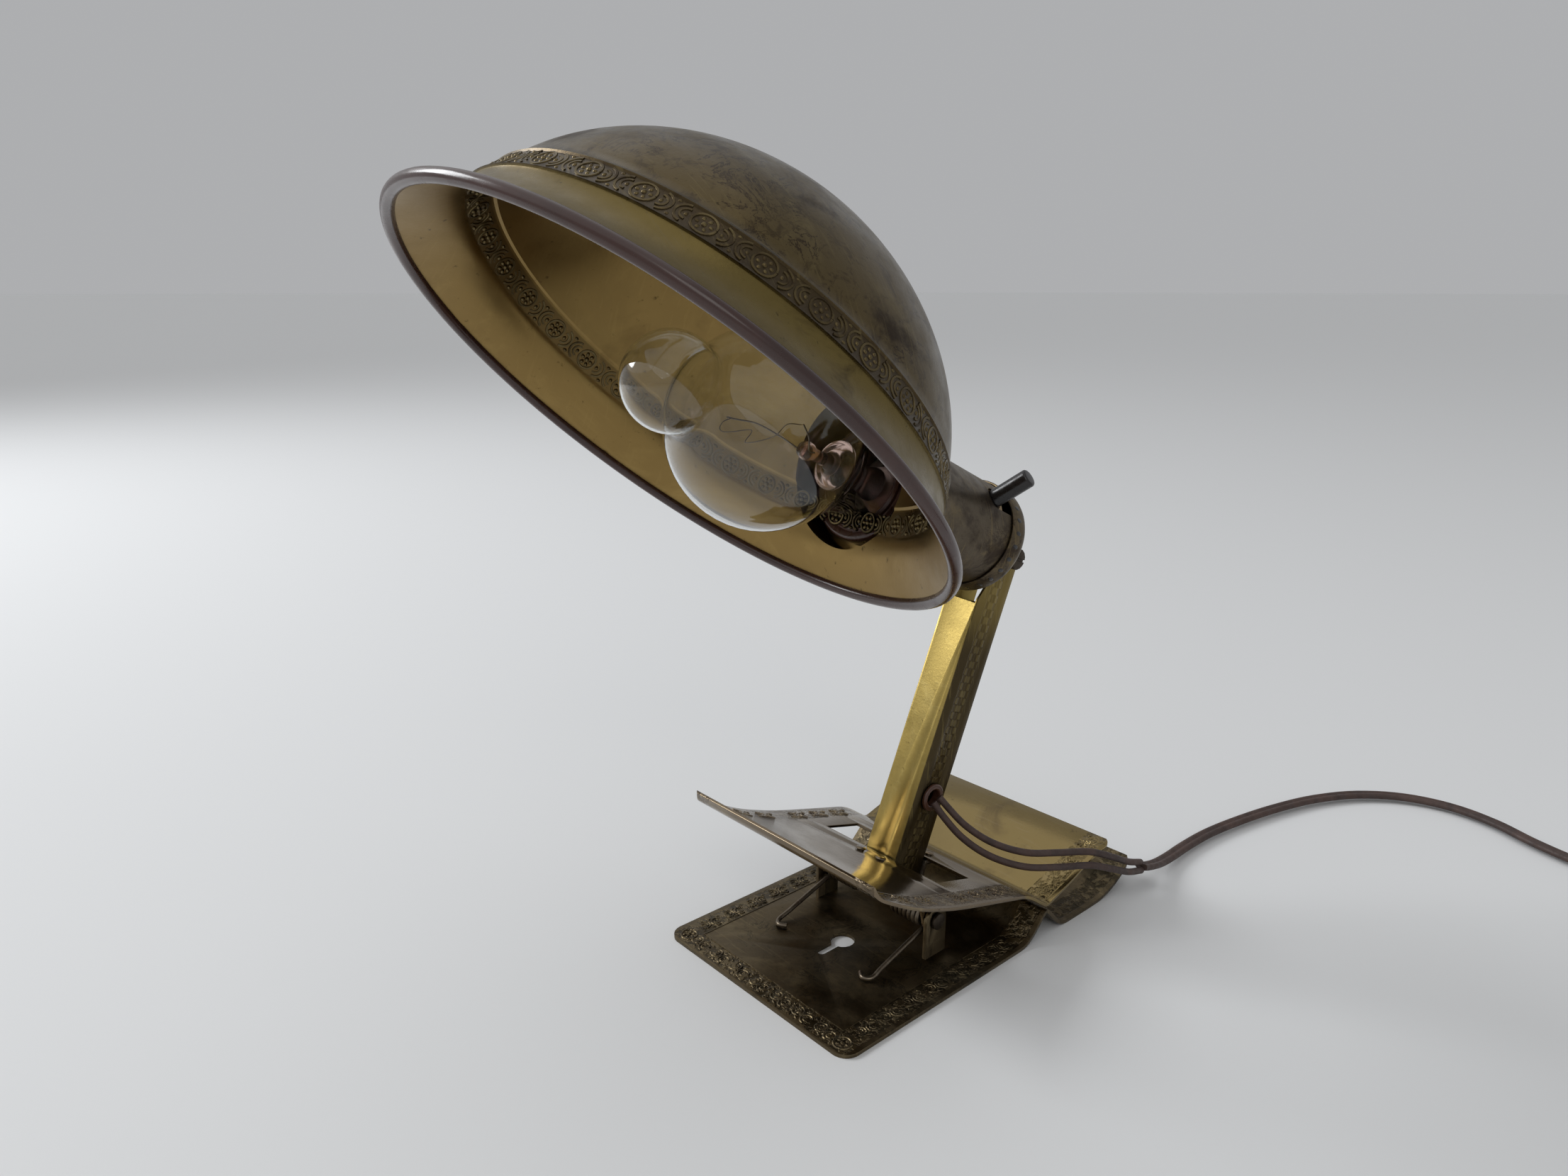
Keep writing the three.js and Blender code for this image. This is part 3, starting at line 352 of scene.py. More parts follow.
def rosette(bm: bmesh.types.BMesh, tile: Matrix) -> None:
    """Adds a round flower to a relief: a ring about six petals and a centre."""
    raised_dot(bm, (0, 0), (0.8, 0.8, 0.85), 0, tile)
    for k in range(6):
        angle = k * math.pi / 3
        raised_dot(bm, (1.75 * math.cos(angle), 1.75 * math.sin(angle)), (0.78, 0.62, 0.68), angle, tile)
    curl(bm, (0, 0), 3.05, (0, 358), 0.5, tile)


# ---- materials ------------------------------------------------------------------------------
class Motif(Enum):
    """The relief that a finish presses into its metal."""

    PLAIN = "plain"
    SIDE_BANDS = "side_bands"
    ARM_STRIP = "arm_strip"


class Graph:
    """A small helper that strings shader nodes together."""

    def __init__(self, name: str) -> None:
        """Starts a material with one shader."""
        self.material = bpy.data.materials.new(name)
        self.material.use_nodes = True
        self.tree = self.material.node_tree
        self.shader = self.tree.nodes["Principled BSDF"]

    def node(self, kind: str, **values: object) -> bpy.types.Node:
        """Adds a node and sets its properties."""
        made = self.tree.nodes.new(kind)
        for key, value in values.items():
            setattr(made, key, value)
        return made

    def link(self, source: bpy.types.NodeSocket, target: bpy.types.NodeSocket) -> None:
        """Joins one socket to another."""
        self.tree.links.new(source, target)

    def place(self, turn: tuple[float, float, float] = (0, 0, 0),
              shift: tuple[float, float, float] = (0, 0, 0),
              stretch: tuple[float, float, float] = (1, 1, 1)) -> bpy.types.NodeSocket:
        """The object's own coordinates, turned, shifted (metres) and stretched."""
        mapping = self.node("ShaderNodeMapping")
        mapping.inputs["Rotation"].default_value = turn
        mapping.inputs["Location"].default_value = shift
        mapping.inputs["Scale"].default_value = stretch
        self.link(self.node("ShaderNodeTexCoord").outputs["Object"], mapping.inputs["Vector"])
        return mapping.outputs["Vector"]

    def within(self, frame: Matrix) -> bpy.types.NodeSocket:
        """The coordinates inside a frame that is given in millimetres, in metres."""
        inverse = frame.inverted()
        return self.place(tuple(inverse.to_euler("XYZ")), tuple(inverse.translation * MM))

    def noise(self, where: bpy.types.NodeSocket, scale: float, detail: float = 5, rough: float = 0.6,
              warp: float = 0.0) -> bpy.types.NodeSocket:
        """Cloudy noise at a scale per metre."""
        made = self.node("ShaderNodeTexNoise")
        made.inputs["Scale"].default_value = scale
        made.inputs["Detail"].default_value = detail
        made.inputs["Roughness"].default_value = rough
        made.inputs["Distortion"].default_value = warp
        self.link(where, made.inputs["Vector"])
        return made.outputs["Fac"]

    def span(self, value: bpy.types.NodeSocket, low: float, high: float, out_low: float = 0.0,
             out_high: float = 1.0) -> bpy.types.NodeSocket:
        """Maps a value from one range to another, clamped and eased."""
        made = self.node("ShaderNodeMapRange", interpolation_type="SMOOTHSTEP")
        for key, number in (("From Min", low), ("From Max", high), ("To Min", out_low), ("To Max", out_high)):
            made.inputs[key].default_value = number
        self.link(value, made.inputs["Value"])
        return made.outputs["Result"]

    def maths(self, what: str, a: bpy.types.NodeSocket | float, b: bpy.types.NodeSocket | float = 0.0,
              ) -> bpy.types.NodeSocket:
        """One sum of two values."""
        made = self.node("ShaderNodeMath", operation=what)
        for socket, value in zip(made.inputs, (a, b)):
            if isinstance(value, (int, float)):
                socket.default_value = value
            else:
                self.link(value, socket)
        return made.outputs["Value"]

    def axis(self, where: bpy.types.NodeSocket, name: str) -> bpy.types.NodeSocket:
        """One coordinate of a place."""
        made = self.node("ShaderNodeSeparateXYZ")
        self.link(where, made.inputs["Vector"])
        return made.outputs[name]

    def mix(self, share: bpy.types.NodeSocket, a: bpy.types.NodeSocket | Colour,
            b: bpy.types.NodeSocket | Colour) -> bpy.types.NodeSocket:
        """Mixes two colours by a share."""
        made = self.node("ShaderNodeMix", data_type="RGBA")
        self.link(share, made.inputs["Factor"])
        for socket, value in zip((made.inputs[6], made.inputs[7]), (a, b)):
            if isinstance(value, tuple):
                socket.default_value = (*value, 1)
            else:
                self.link(value, socket)
        return made.outputs[2]

    def bump(self, height: bpy.types.NodeSocket, strength: float, distance: float,
             under: bpy.types.NodeSocket | None = None) -> bpy.types.NodeSocket:
        """Turns a height into relief, over another relief if one is given."""
        made = self.node("ShaderNodeBump")
        made.inputs["Strength"].default_value = strength
        made.inputs["Distance"].default_value = distance
        self.link(height, made.inputs["Height"])
        if under is not None:
            self.link(under, made.inputs["Normal"])
        return made.outputs["Normal"]


@dataclass(frozen=True)
class WornMetal:
    """Aged metal: a base colour with stains, worn light patches, fine scratches and specks.

    Attributes:
        name: The material's name.
        base, stain, worn: Its main colour, that of its stains and that of its rubbed places.
        stain_from, stain_to: Where in the noise the stains begin and are full.
        roughness: Its least and greatest roughness.
        scale: Stains per metre.
        scratch: How strong the fine scratches are.
        motif: The relief pressed into it.
        painted_side_shade: The colour of the painted shade on the arm's side that faces +X.
        mottle: How strong the small dark blotches are.
        rear_sheen, rear_from: The lighter colour painted on the plate behind a line, a painted reflection of
            light on the rear leaf, and where that line is in metres.
        ring_stain, skirt_tone: The colours of the shade's pressed band and of the skirt below it.
        front_edge: Whether the border also runs along the front edge.
        relief: How strong the pressed pattern is.
    """

    name: str
    base: Colour
    stain: Colour
    worn: Colour
    stain_from: float = 0.52
    stain_to: float = 0.68
    roughness: tuple[float, float] = (0.25, 0.5)
    scale: float = 28.0
    scratch: float = 0.25
    motif: Motif = Motif.PLAIN
    painted_side_shade: Colour | None = None
    mottle: float = 0.0
    rear_sheen: Colour | None = None
    rear_from: float = 0.026
    ring_stain: Colour | None = None
    skirt_tone: Colour | None = None
    front_edge: bool = False
    relief: float = 0.45

    def build(self) -> bpy.types.Material:
        """Makes the material."""
        g = Graph(self.name)
        flat = g.place()
        clouds = g.noise(flat, self.scale, 8, 0.62, 0.6)
        stains = g.span(clouds, self.stain_from, self.stain_to)
        specks = g.span(g.noise(flat, self.scale * 16, 4, 0.7), 0.63, 0.74)
        rubs = g.span(g.noise(flat, self.scale * 0.6, 6, 0.7, 1.2), 0.5, 0.75)
        tone = g.mix(rubs, self.base, self.worn)
        # painted shade: the arm's side that faces +X is darkened
        if self.painted_side_shade is not None:
            tone = self._paint_side_shade(g, tone)
        # painted reflection: the plate behind a line is given a lighter golden colour
        if self.rear_sheen is not None:
            behind = g.span(g.axis(flat, "Y"), self.rear_from, self.rear_from + 0.003)
            tone = g.mix(behind, tone, self.rear_sheen)
        if self.mottle:
            blotches = g.span(g.noise(flat, 210, 5, 0.75, 0.8), 0.5, 0.64)
            crossing = g.maths("ABSOLUTE", g.maths("SUBTRACT", g.noise(flat, 62, 7, 0.7, 0.6), 0.5))
            patches = g.span(g.noise(flat, 24, 3, 0.5), 0.47, 0.56)
            veins = g.maths("MULTIPLY", g.span(crossing, 0.02, 0.003), patches)
            faint = g.maths("MULTIPLY", blotches, self.mottle)
            marks = g.maths("MAXIMUM", faint, g.maths("MULTIPLY", veins, 0.85))
            tone = g.mix(marks, tone, self.stain)
        if self.ring_stain is not None:
            tone = self._dark_ring(g, tone)
        tone = g.mix(g.maths("MULTIPLY", stains, 0.85), tone, self.stain)
        tone = g.mix(g.maths("MULTIPLY", specks, 0.7), tone, tuple(0.4 * c for c in self.stain))
        lines = g.noise(g.place(turn=(0.3, 0.5, 0.9), stretch=(1, 14, 1)), 70, 3, 0.5)
        hair = g.span(lines, 0.60, 0.66)
        tone = g.mix(g.maths("MULTIPLY", hair, self.scratch), tone, self.worn)
        low, high = self.roughness
        dull = g.span(g.noise(flat, self.scale * 2.3, 6, 0.7), 0.3, 0.7, low, high)
        g.link(g.maths("ADD", dull, g.maths("MULTIPLY", stains, 0.14)), g.shader.inputs["Roughness"])
        normal = g.bump(g.noise(flat, 900, 3, 0.6), 0.08, 0.0004)
        normal = g.bump(hair, 0.12 * self.scratch, 0.0003, normal)
        if self.motif is not Motif.PLAIN:
            relief, where = self._relief(g)
            normal = g.bump(relief, self.relief, 0.0005, normal)
            sunk = g.maths("MULTIPLY", g.span(relief, 0.5, 0.2), where)
            tone = g.mix(g.maths("MULTIPLY", sunk, self.relief), tone, tuple(0.45 * c for c in self.stain))
            crest = g.maths("MULTIPLY", g.span(relief, 0.75, 1.0), where)
            tone = g.mix(g.maths("MULTIPLY", crest, 0.6 * self.relief), tone, self.worn)
        g.link(tone, g.shader.inputs["Base Color"])
        g.link(normal, g.shader.inputs["Normal"])
        g.shader.inputs["Metallic"].default_value = 1.0
        return g.material

    def _paint_side_shade(self, g: Graph, tone: bpy.types.NodeSocket) -> bpy.types.NodeSocket:
        """Paints shade on the side of the arm that faces +X, more so lower down."""
        where = g.within(PLACES.arm())
        side = g.span(g.axis(where, "X"), 0.0069, 0.0074)
        high = g.span(g.axis(where, "Z"), 0.085, 0.11)
        share = g.maths("MULTIPLY", side, g.maths("SUBTRACT", 1.0, g.maths("MULTIPLY", high, 0.55)))
        return g.mix(share, tone, self.painted_side_shade)

    def _dark_ring(self, g: Graph, tone: bpy.types.NodeSocket) -> bpy.types.NodeSocket:
        """Darkens the shade's pressed band, between its two lines."""
        height = g.axis(g.within(PLACES.shade()), "Z")
        share = g.maths("MULTIPLY", g.span(height, 0.0152, 0.0158), g.span(height, 0.0233, 0.0227))
        if self.skirt_tone is not None:
            low = g.span(height, 0.0155, 0.0150)
            tone = g.mix(g.maths("MULTIPLY", low, 0.8), tone, self.skirt_tone)
        return g.mix(g.maths("MULTIPLY", share, 0.75), tone, self.ring_stain)

    def _relief(self, g: Graph) -> tuple[bpy.types.NodeSocket, bpy.types.NodeSocket]:
        """The pressed pattern's height and where it lies."""
        where = g.place()
        if self.motif is Motif.SIDE_BANDS:
            aside = g.maths("ABSOLUTE", g.axis(where, "X"))
            inner = g.span(aside, 0.0372, 0.0378)
            if self.front_edge:
                ahead = g.axis(where, "Y")
                inner = g.maths("MAXIMUM", inner, g.span(ahead, -0.0552, -0.0558))
                inner = g.maths("MULTIPLY", inner, g.span(ahead, -0.0642, -0.0636))
            band = g.maths("MULTIPLY", inner, g.span(aside, 0.0464, 0.0458))
            height = g.maths("MULTIPLY", g.span(g.noise(where, 380, 3, 0.6), 0.4, 0.6), band)
            return g.maths("ADD", height, g.maths("SUBTRACT", 1.0, band)), band
        local = g.within(PLACES.arm())
        along = g.axis(local, "Z")
        off = g.maths("ABSOLUTE", g.axis(local, "Y"))
        side = g.span(g.axis(local, "X"), 0.0070, 0.0074)
        band = g.maths("MULTIPLY", g.span(off, 0.0036, 0.0032), side)
        beads = g.maths("SINE", g.maths("MULTIPLY", along, 2 * math.pi / 0.0058))
        edge = g.maths("SINE", g.maths("MULTIPLY", off, 2 * math.pi / 0.0030))
        height = g.maths("MULTIPLY", g.span(g.maths("MULTIPLY", beads, edge), -0.3, 0.3), band)
        return g.maths("ADD", height, g.maths("SUBTRACT", 1.0, band)), band


@dataclass(frozen=True)
class Moulded:
    """A moulded or rubber finish, mottled and slightly uneven."""

    name: str
    base: Colour
    other: Colour
    roughness: tuple[float, float] = (0.25, 0.45)
    scale: float = 60.0
    bump: float = 0.1
    coat: float = 0.0

    def build(self) -> bpy.types.Material:
        """Makes the material."""
        g = Graph(self.name)
        flat = g.place()
        swirl = g.span(g.noise(flat, self.scale, 7, 0.65, 1.5), 0.35, 0.7)
        g.link(g.mix(swirl, self.base, self.other), g.shader.inputs["Base Color"])
        dust = g.noise(flat, self.scale * 8, 4, 0.6)
        g.link(g.span(dust, 0.3, 0.7, *self.roughness), g.shader.inputs["Roughness"])
        g.link(g.bump(g.noise(flat, 1400, 2, 0.6), self.bump, 0.0003), g.shader.inputs["Normal"])
        g.shader.inputs["Coat Weight"].default_value = self.coat
        return g.material


@dataclass(frozen=True)
class ClearGlass:
    """Thin clear lamp glass with a trace of dust."""

    name: str
    tint: Colour
    roughness: float = 0.0

    def build(self) -> bpy.types.Material:
        """Makes the material."""
        g = Graph(self.name)
        dust = g.noise(g.place(), 160, 5, 0.7)
        g.link(g.mix(g.span(dust, 0.55, 0.9), self.tint, tuple(0.9 * c for c in self.tint)),
               g.shader.inputs["Base Color"])
        g.link(g.span(dust, 0.55, 0.85, self.roughness, self.roughness + 0.08), g.shader.inputs["Roughness"])
        g.shader.inputs["Transmission Weight"].default_value = 1.0
        g.shader.inputs["IOR"].default_value = 1.46
        return g.material


class Finishes:
    """Every finish of the lamp, made once."""

    def __init__(self) -> None:
        """Makes the materials."""
        self.dome = WornMetal(
            "dome_brass", (0.112, 0.082, 0.038), (0.032, 0.02, 0.012), (0.175, 0.135, 0.06), 0.56, 0.7,
            (0.24, 0.4), scale=30, scratch=0.3, mottle=0.5, ring_stain=(0.055, 0.038, 0.02),
            skirt_tone=(0.19, 0.14, 0.045)).build()
        self.pressed = WornMetal(
            "pressed_brass", (0.125, 0.093, 0.043), (0.045, 0.03, 0.018), (0.18, 0.14, 0.065), 0.5, 0.68,
            (0.28, 0.42), scale=60, scratch=0.2).build()
        self.inside = WornMetal(
            "shade_inside_brass", (0.25, 0.165, 0.058), (0.13, 0.08, 0.03), (0.34, 0.235, 0.085), 0.54, 0.78,
            (0.27, 0.4), scale=18, scratch=0.12, ring_stain=(0.115, 0.075, 0.03)).build()
        self.arm = WornMetal(
            "arm_lacquer", (0.32, 0.235, 0.072), (0.18, 0.12, 0.045), (0.40, 0.31, 0.115), 0.63, 0.76,
            (0.28, 0.42), scale=34, scratch=0.2, motif=Motif.ARM_STRIP,
            # painted shade on the arm's side that faces +X
            painted_side_shade=(0.075, 0.055, 0.027), relief=0.3).build()
        self.base = WornMetal(
            "base_bronze", (0.125, 0.095, 0.055), (0.05, 0.042, 0.027), (0.23, 0.18, 0.10), 0.52, 0.68,
            (0.28, 0.5), scale=34, scratch=0.35, motif=Motif.SIDE_BANDS, front_edge=True, mottle=0.3,
            relief=0.5).build()
        self.plate = WornMetal(
            "plate_polish", (0.20, 0.155, 0.105), (0.10, 0.07, 0.045), (0.33, 0.26, 0.15), 0.58, 0.78,
            # painted reflection: a lighter gold on the plate's rear leaf
            (0.12, 0.24), scale=22, scratch=0.2, motif=Motif.SIDE_BANDS, rear_sheen=(0.27, 0.20, 0.085),
            relief=0.4).build()
        self.socket = WornMetal(
            "socket_bronze", (0.115, 0.09, 0.06), (0.05, 0.036, 0.027), (0.25, 0.185, 0.085), 0.5, 0.66,
            (0.32, 0.5), scale=48, scratch=0.4, mottle=0.35).build()
        self.brass = WornMetal(
            "small_brass", (0.36, 0.27, 0.11), (0.16, 0.10, 0.05), (0.48, 0.37, 0.17), 0.5, 0.7,
            (0.25, 0.45), scale=70).build()
        self.steel = WornMetal(
            "aged_steel", (0.17, 0.14, 0.105), (0.08, 0.05, 0.033), (0.33, 0.29, 0.23), 0.5, 0.7,
            (0.3, 0.5), scale=80).build()
        self.iron = WornMetal(
            "dark_iron", (0.07, 0.055, 0.042), (0.04, 0.028, 0.02), (0.13, 0.11, 0.085), 0.5, 0.7,
            (0.35, 0.55), scale=90).build()
        self.bead = Moulded(
            "bead_lacquer", (0.05, 0.02, 0.015), (0.036, 0.015, 0.012), (0.2, 0.3), 20, 0.03, 0.15).build()
        self.bakelite = Moulded(
            "brown_bakelite", (0.085, 0.034, 0.02), (0.05, 0.021, 0.013), (0.24, 0.42), 40, 0.06, 0.2).build()
        self.black = Moulded(
            "black_rod", (0.008, 0.007, 0.007), (0.015, 0.012, 0.011), (0.18, 0.32), 60, 0.06).build()
        self.rubber = Moulded(
            "cord_rubber", (0.075, 0.043, 0.034), (0.042, 0.026, 0.022), (0.5, 0.72), 50, 0.3).build()
        self.fibre = Moulded(
            "pressed_fibre", (0.45, 0.33, 0.2), (0.36, 0.25, 0.14), (0.8, 0.95), 90, 0.4).build()
        self.glass = ClearGlass("bulb_glass_clear", (0.97, 0.985, 0.98)).build()
        self.stem_glass = ClearGlass("stem_glass", (0.96, 0.68, 0.61), 0.12).build()
        self.lamp_metal = WornMetal(
            "lamp_base_metal", (0.55, 0.53, 0.48), (0.25, 0.2, 0.15), (0.7, 0.68, 0.62), scale=90).build()


def dress(obj: bpy.types.Object, finish: bpy.types.Material,
          body: str | None = None) -> bpy.types.Object:
    """Gives a piece its finish and the body it rides on."""
    obj.data.materials.clear()
    obj.data.materials.append(finish)
    if body:
        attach(obj, body)
    return obj


# ---- cord -----------------------------------------------------------------------------------
@dataclass
class Cord:
    """The two split wires, the flat cord with its coil, and the plug."""

    wire_radius: float = 1.35
    lead_points: tuple[tuple[float, float, float], ...] = (
        (11.4, 18.6, 51), (15, 20.4, 46.4), (20.5, 24.6, 39.2), (28, 31.6, 32.4), (36.5, 42.5, 27.4),
        (44, 54, 26.2), (50, 65.5, 25), (53.2, 76, 20.6), (53.9, 88, 14.6), (53.2, 99, 10.4),
    )
    cord_points: tuple[tuple[float, float, float], ...] = (
        (53.1, 103.5, 8.7), (52.2, 114, 5.6), (51, 126, 3.6), (50.2, 142, 2.9), (51, 160, 2.9),
        (54.4, 182, 2.9), (60.2, 207, 2.9), (68, 230, 2.9), (80, 250.5, 2.9), (96, 264, 2.9),
        (114.5, 269.2, 2.9), (133, 266.5, 2.9), (150.5, 258.8, 2.9), (168, 253.6, 2.9), (186, 252, 2.9),
        (202, 252.1, 2.9), (215, 252.2, 2.9),
    )
    coil_centre: tuple[float, float] = (236, 214)
    coil_outer: float = 38.2
    coil_pitch: float = 5.5
    lying: float = 2.9
    layer: float = 5.2
    plug_at: tuple[float, float] = (264.5, 163)
    plug_turn: float = math.radians(-104)

    def _coil_line(self) -> list[Vector]:
        """The coil's turns: in along the bottom, up a layer, and out along the top."""
        line: list[Vector] = []
        inward, climb, outward = 3.1, 0.7, 3.5
        total = inward + climb + outward
        steps = int(total * 32)
        inner = self.coil_outer - self.coil_pitch * inward
        for i in range(steps + 1):
            t = total * i / steps
            if t < inward:
                radius, z = self.coil_outer - self.coil_pitch * t, self.lying
            elif t < inward + climb:
                part = (t - inward) / climb
                radius, z = inner, self.lying + self.layer * (part * part * (3 - 2 * part))
            else:
                radius = min(inner + self.coil_pitch * (t - inward - climb), self.coil_outer)
                z = self.lying + self.layer
            angle = math.pi / 2 - 2 * math.pi * t
            line.append(Vector((self.coil_centre[0] + radius * math.cos(angle),
                                self.coil_centre[1] + radius * math.sin(angle), z)))
        return line

    def _split_line(self, side: int) -> list[Vector]:
        """One split wire's middle line, to one side of the pair's."""
        middle = smooth_path([Vector(p) for p in self.lead_points], 6)
        line: list[Vector] = []
        last = len(middle) - 1
        for i, at in enumerate(middle):
            along = (middle[min(i + 1, last)] - middle[max(i - 1, 0)]).normalized()
            aside = Vector((-0.35, 0.45, 0.8))
            aside = (aside - along * aside.dot(along)).normalized()
            spread = self.wire_radius + 0.25 + 1.1 * math.sin(math.pi * i / last)
            line.append(at + aside * (side * spread))
        return line

    def build(self, finishes: Finishes) -> None:
        for name, side in (("upper", 1), ("lower", -1)):
            line = self._split_line(side)
            lead = wire(f"split_wire_{name}", line, self.wire_radius, 5)
            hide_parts(f"cord_wire_{name}")
            dress(lead, finishes.rubber, "jaw")
        self._flat_cord(finishes)

    def _flat_cord(self, finishes: Finishes) -> None:
        """Makes the flat cord from the join to the plug."""
        join = Vector(self.lead_points[-1]).lerp(Vector(self.cord_points[0]), 0.12)  # by the wires' ends
        line = smooth_path([join, *(Vector(p) for p in self.cord_points)], 5)
        coil = self._coil_line()
        direction = Vector((math.cos(self.plug_turn), math.sin(self.plug_turn), 0))
        back = Vector((*self.plug_at, 7.7)) - direction * 12.6
        out = coil[-1] - coil[-2]
        run = (back - coil[-1]).length
        tail = [coil[-1] + out.normalized() * run * 0.33, back - direction * run * 0.33, back]
        path = line + coil + smooth_path([coil[-1], *tail], 6)[1:]
        path = [path[0]] + [b for a, b in zip(path, path[1:]) if (b - a).length > 0.4]
        section = arc(self.wire_radius, 0, self.wire_radius, -150, 150, 8)
        section += [(-r, -h) for r, h in section]
        cord = smooth(to_object(swept_bm(path, section, Vector((0, 0, 1))), "flat_cord"), 80)
        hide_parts("zip_cord", "cord_coil")
        dress(cord, finishes.rubber, "base")
        plug = self._plug(finishes)

    def _plug(self, finishes: Finishes) -> bpy.types.Object:
        """Makes the moulded plug round its two blades."""
        plug = softened("plug_body", "moulded_plug", 2.2, 4)
        return dress(plug, finishes.bakelite, "base")


# ---- shade ----------------------------------------------------------------------------------
@dataclass
class Shade:
    """The helmet shade, with its pressed band, socket seat and rim bead."""

    wall: float = 0.8
    rim: float = 90.2
    height: float = 73.3
    skirt: tuple[float, float] = (78.0, 15.5)
    band: tuple[float, float] = (75.0, 23.0)
    dome: float = 77.3
    foot: float = 6.4
    power: float = 1.9
    dome_from: float = 0.185
    pocket: float = 25.0
    seat_back: float = 73.3
    hole: float = 16.0
    bead: float = 1.9
    rosettes: int = 31

    def _outline(self, inset: float) -> Profile:
        """The shade's profile from the rim to the crown, drawn in by an inset."""
        points: Profile = []
        for i in range(8):
            t = i / 8
            share = 1 - (1 - t) ** 1.7
            points.append((self.rim + (self.skirt[0] - self.rim) * share - inset, self.skirt[1] * t))
        out = 0.45 if inset == 0 else 0.0
        skirt_r, skirt_h = self.skirt[0] - inset, self.skirt[1]
        band_r, band_h = self.band[0] - inset, self.band[1]
        points += [(skirt_r, skirt_h - 0.5), (skirt_r + out, skirt_h), (skirt_r - 0.2, skirt_h + 0.6)]
        points += [(band_r + 0.2, band_h - 0.6), (band_r + out, band_h), (band_r - 0.25, band_h + 0.6)]
        top = self.height - inset
        for i in range(36):
            angle = math.pi / 2 * (self.dome_from + (1 - self.dome_from) * i / 36)
            points.append(((self.dome - inset) * math.cos(angle) ** (2 / self.power),
                           self.foot + (top - self.foot) * math.sin(angle) ** (2 / self.power)))
        return [*points, (0.0, top)]

    def build(self, finishes: Finishes) -> None:
        """Makes the shade's shell, its ornament and the bead."""
        place = PLACES.shade()
        shell = self._shell(finishes)
        self._ornament(finishes, place)
        middle = self.rim - self.wall / 2
        bead = turned("rim_bead_round", arc(middle, 0, self.bead, 0, 342, 18), place, 144)
        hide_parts("rim_bead")
        dress(bead, finishes.bead, "shade")
        log.info("shade of %d faces", len(shell.data.polygons))

    def _shell(self, finishes: Finishes) -> bpy.types.Object:
        """The dome with the socket's seat pressed into it, as one sheet with a wall."""
        place = PLACES.shade()
        head = PLACES.head()
        outside = [(0.0, -3.0), (self.rim + 3.6, -3.0), *self._outline(0)]
        inside = [(0.0, -5.0), (self.rim + 2.8, -5.0), *self._outline(self.wall)]
        outer = to_object(turned_bm(outside, 160, False), "shade_shell", place)
        inner = to_object(turned_bm(inside, 160, False), "shade_hollow", place)
        floor, back = self.seat_back, self.seat_back + 30
        cup = self.pocket - 1.2
        seat = [(0.0, floor), (cup, floor), *arc(cup, floor + 1.2, 1.2, -90, 0, 4), (self.pocket, back),
                (0.0, back)]
        core_floor, core_back = floor + self.wall, back + self.wall
        well = self.pocket - self.wall - 1
        core = [(0.0, core_floor), (well, core_floor), *arc(well, core_floor + 1, 1, -90, 0, 4),
                (self.pocket - self.wall, core_back), (0.0, core_back)]
        hole = [(0.0, floor - 4), (self.hole, floor - 4), (self.hole, floor + 6), (0.0, floor + 6)]
        combine(inner, to_object(turned_bm(core, 96, False), "seat_core", head), "UNION")
        combine(inner, to_object(turned_bm(hole, 72, False), "seat_hole", head), "UNION")
        combine(outer, to_object(turned_bm(seat, 96, False), "seat_cup", head), "UNION")
        self._open_mouth(outer, place)
        combine(outer, inner, "DIFFERENCE")
        smooth(outer, 34)
        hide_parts("shade_dome")
        outer.data.materials.clear()
        outer.data.materials.append(finishes.dome)
        outer.data.materials.append(finishes.inside)
        self._paint_inside(outer, place, head)
        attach(outer, "shade")
        return outer

    @staticmethod
    def _open_mouth(obj: bpy.types.Object, place: Matrix) -> None:
        """Cuts a solid off at the shade's rim, and closes the cut."""
        bm = bmesh.new()
        bm.from_mesh(obj.data)
        up = place.to_3x3() @ Vector((0, 0, 1))
        cut = bmesh.ops.bisect_plane(bm, geom=bm.verts[:] + bm.edges[:] + bm.faces[:], dist=1e-7,
                                     plane_co=place.translation * MM, plane_no=up, clear_inner=True)
        rim = [item for item in cut["geom_cut"] if isinstance(item, bmesh.types.BMEdge)]
        bmesh.ops.holes_fill(bm, edges=rim, sides=0)
        bm.to_mesh(obj.data)
        bm.free()

    def _paint_inside(self, shell: bpy.types.Object, place: Matrix, head: Matrix) -> None:
        """Gives the faces that look into the bowl the inside finish."""
        to_bowl = place.inverted()
        to_head = head.inverted()
        centre = Vector((0, 0, 18))
        for face in shell.data.polygons:
            at = to_bowl @ (face.center / MM)
            normal = to_bowl.to_3x3() @ face.normal
            in_head = to_head @ (face.center / MM)
            radial = math.hypot(in_head.x, in_head.y)
            if radial < self.pocket + 1.5 and in_head.z < self.seat_back + 29:
                inward = (to_head.to_3x3() @ face.normal)
                spoke = Vector((in_head.x, in_head.y, 0)).normalized()
                face.material_index = int(inward.z > 0.5 or inward.dot(spoke) < -0.3)
            else:
                face.material_index = int(normal.dot(centre - at) > 0)

    def _ornament(self, finishes: Finishes, place: Matrix) -> None:
        """The pressed band: rosettes between nested leaf pairs, with dots."""
        bm = bmesh.new()
        low, high = Vector((self.skirt[0], 0, self.skirt[1])), Vector((self.band[0], 0, self.band[1]))
        rise = (high - low).normalized()
        middle = (low + high) / 2 - Vector((self.wall * 0.55, 0, 0))
        across = Vector((0, 1, 0))
        out = across.cross(rise)
        tile = Matrix((across, rise, out)).transposed().to_4x4()
        tile.translation = middle
        step = 2 * math.pi / self.rosettes
        inner = tile @ Matrix.Translation((0, 0, -0.3))
        for i in range(self.rosettes):
            for side in (tile, inner):
                rosette(bm, Matrix.Rotation(i * step, 4, "Z") @ side)
                self._leaves(bm, Matrix.Rotation((i + 0.5) * step, 4, "Z") @ side)
        band = smooth(to_object(bm, "pressed_band", place), 60)
        dress(band, finishes.pressed, "shade")

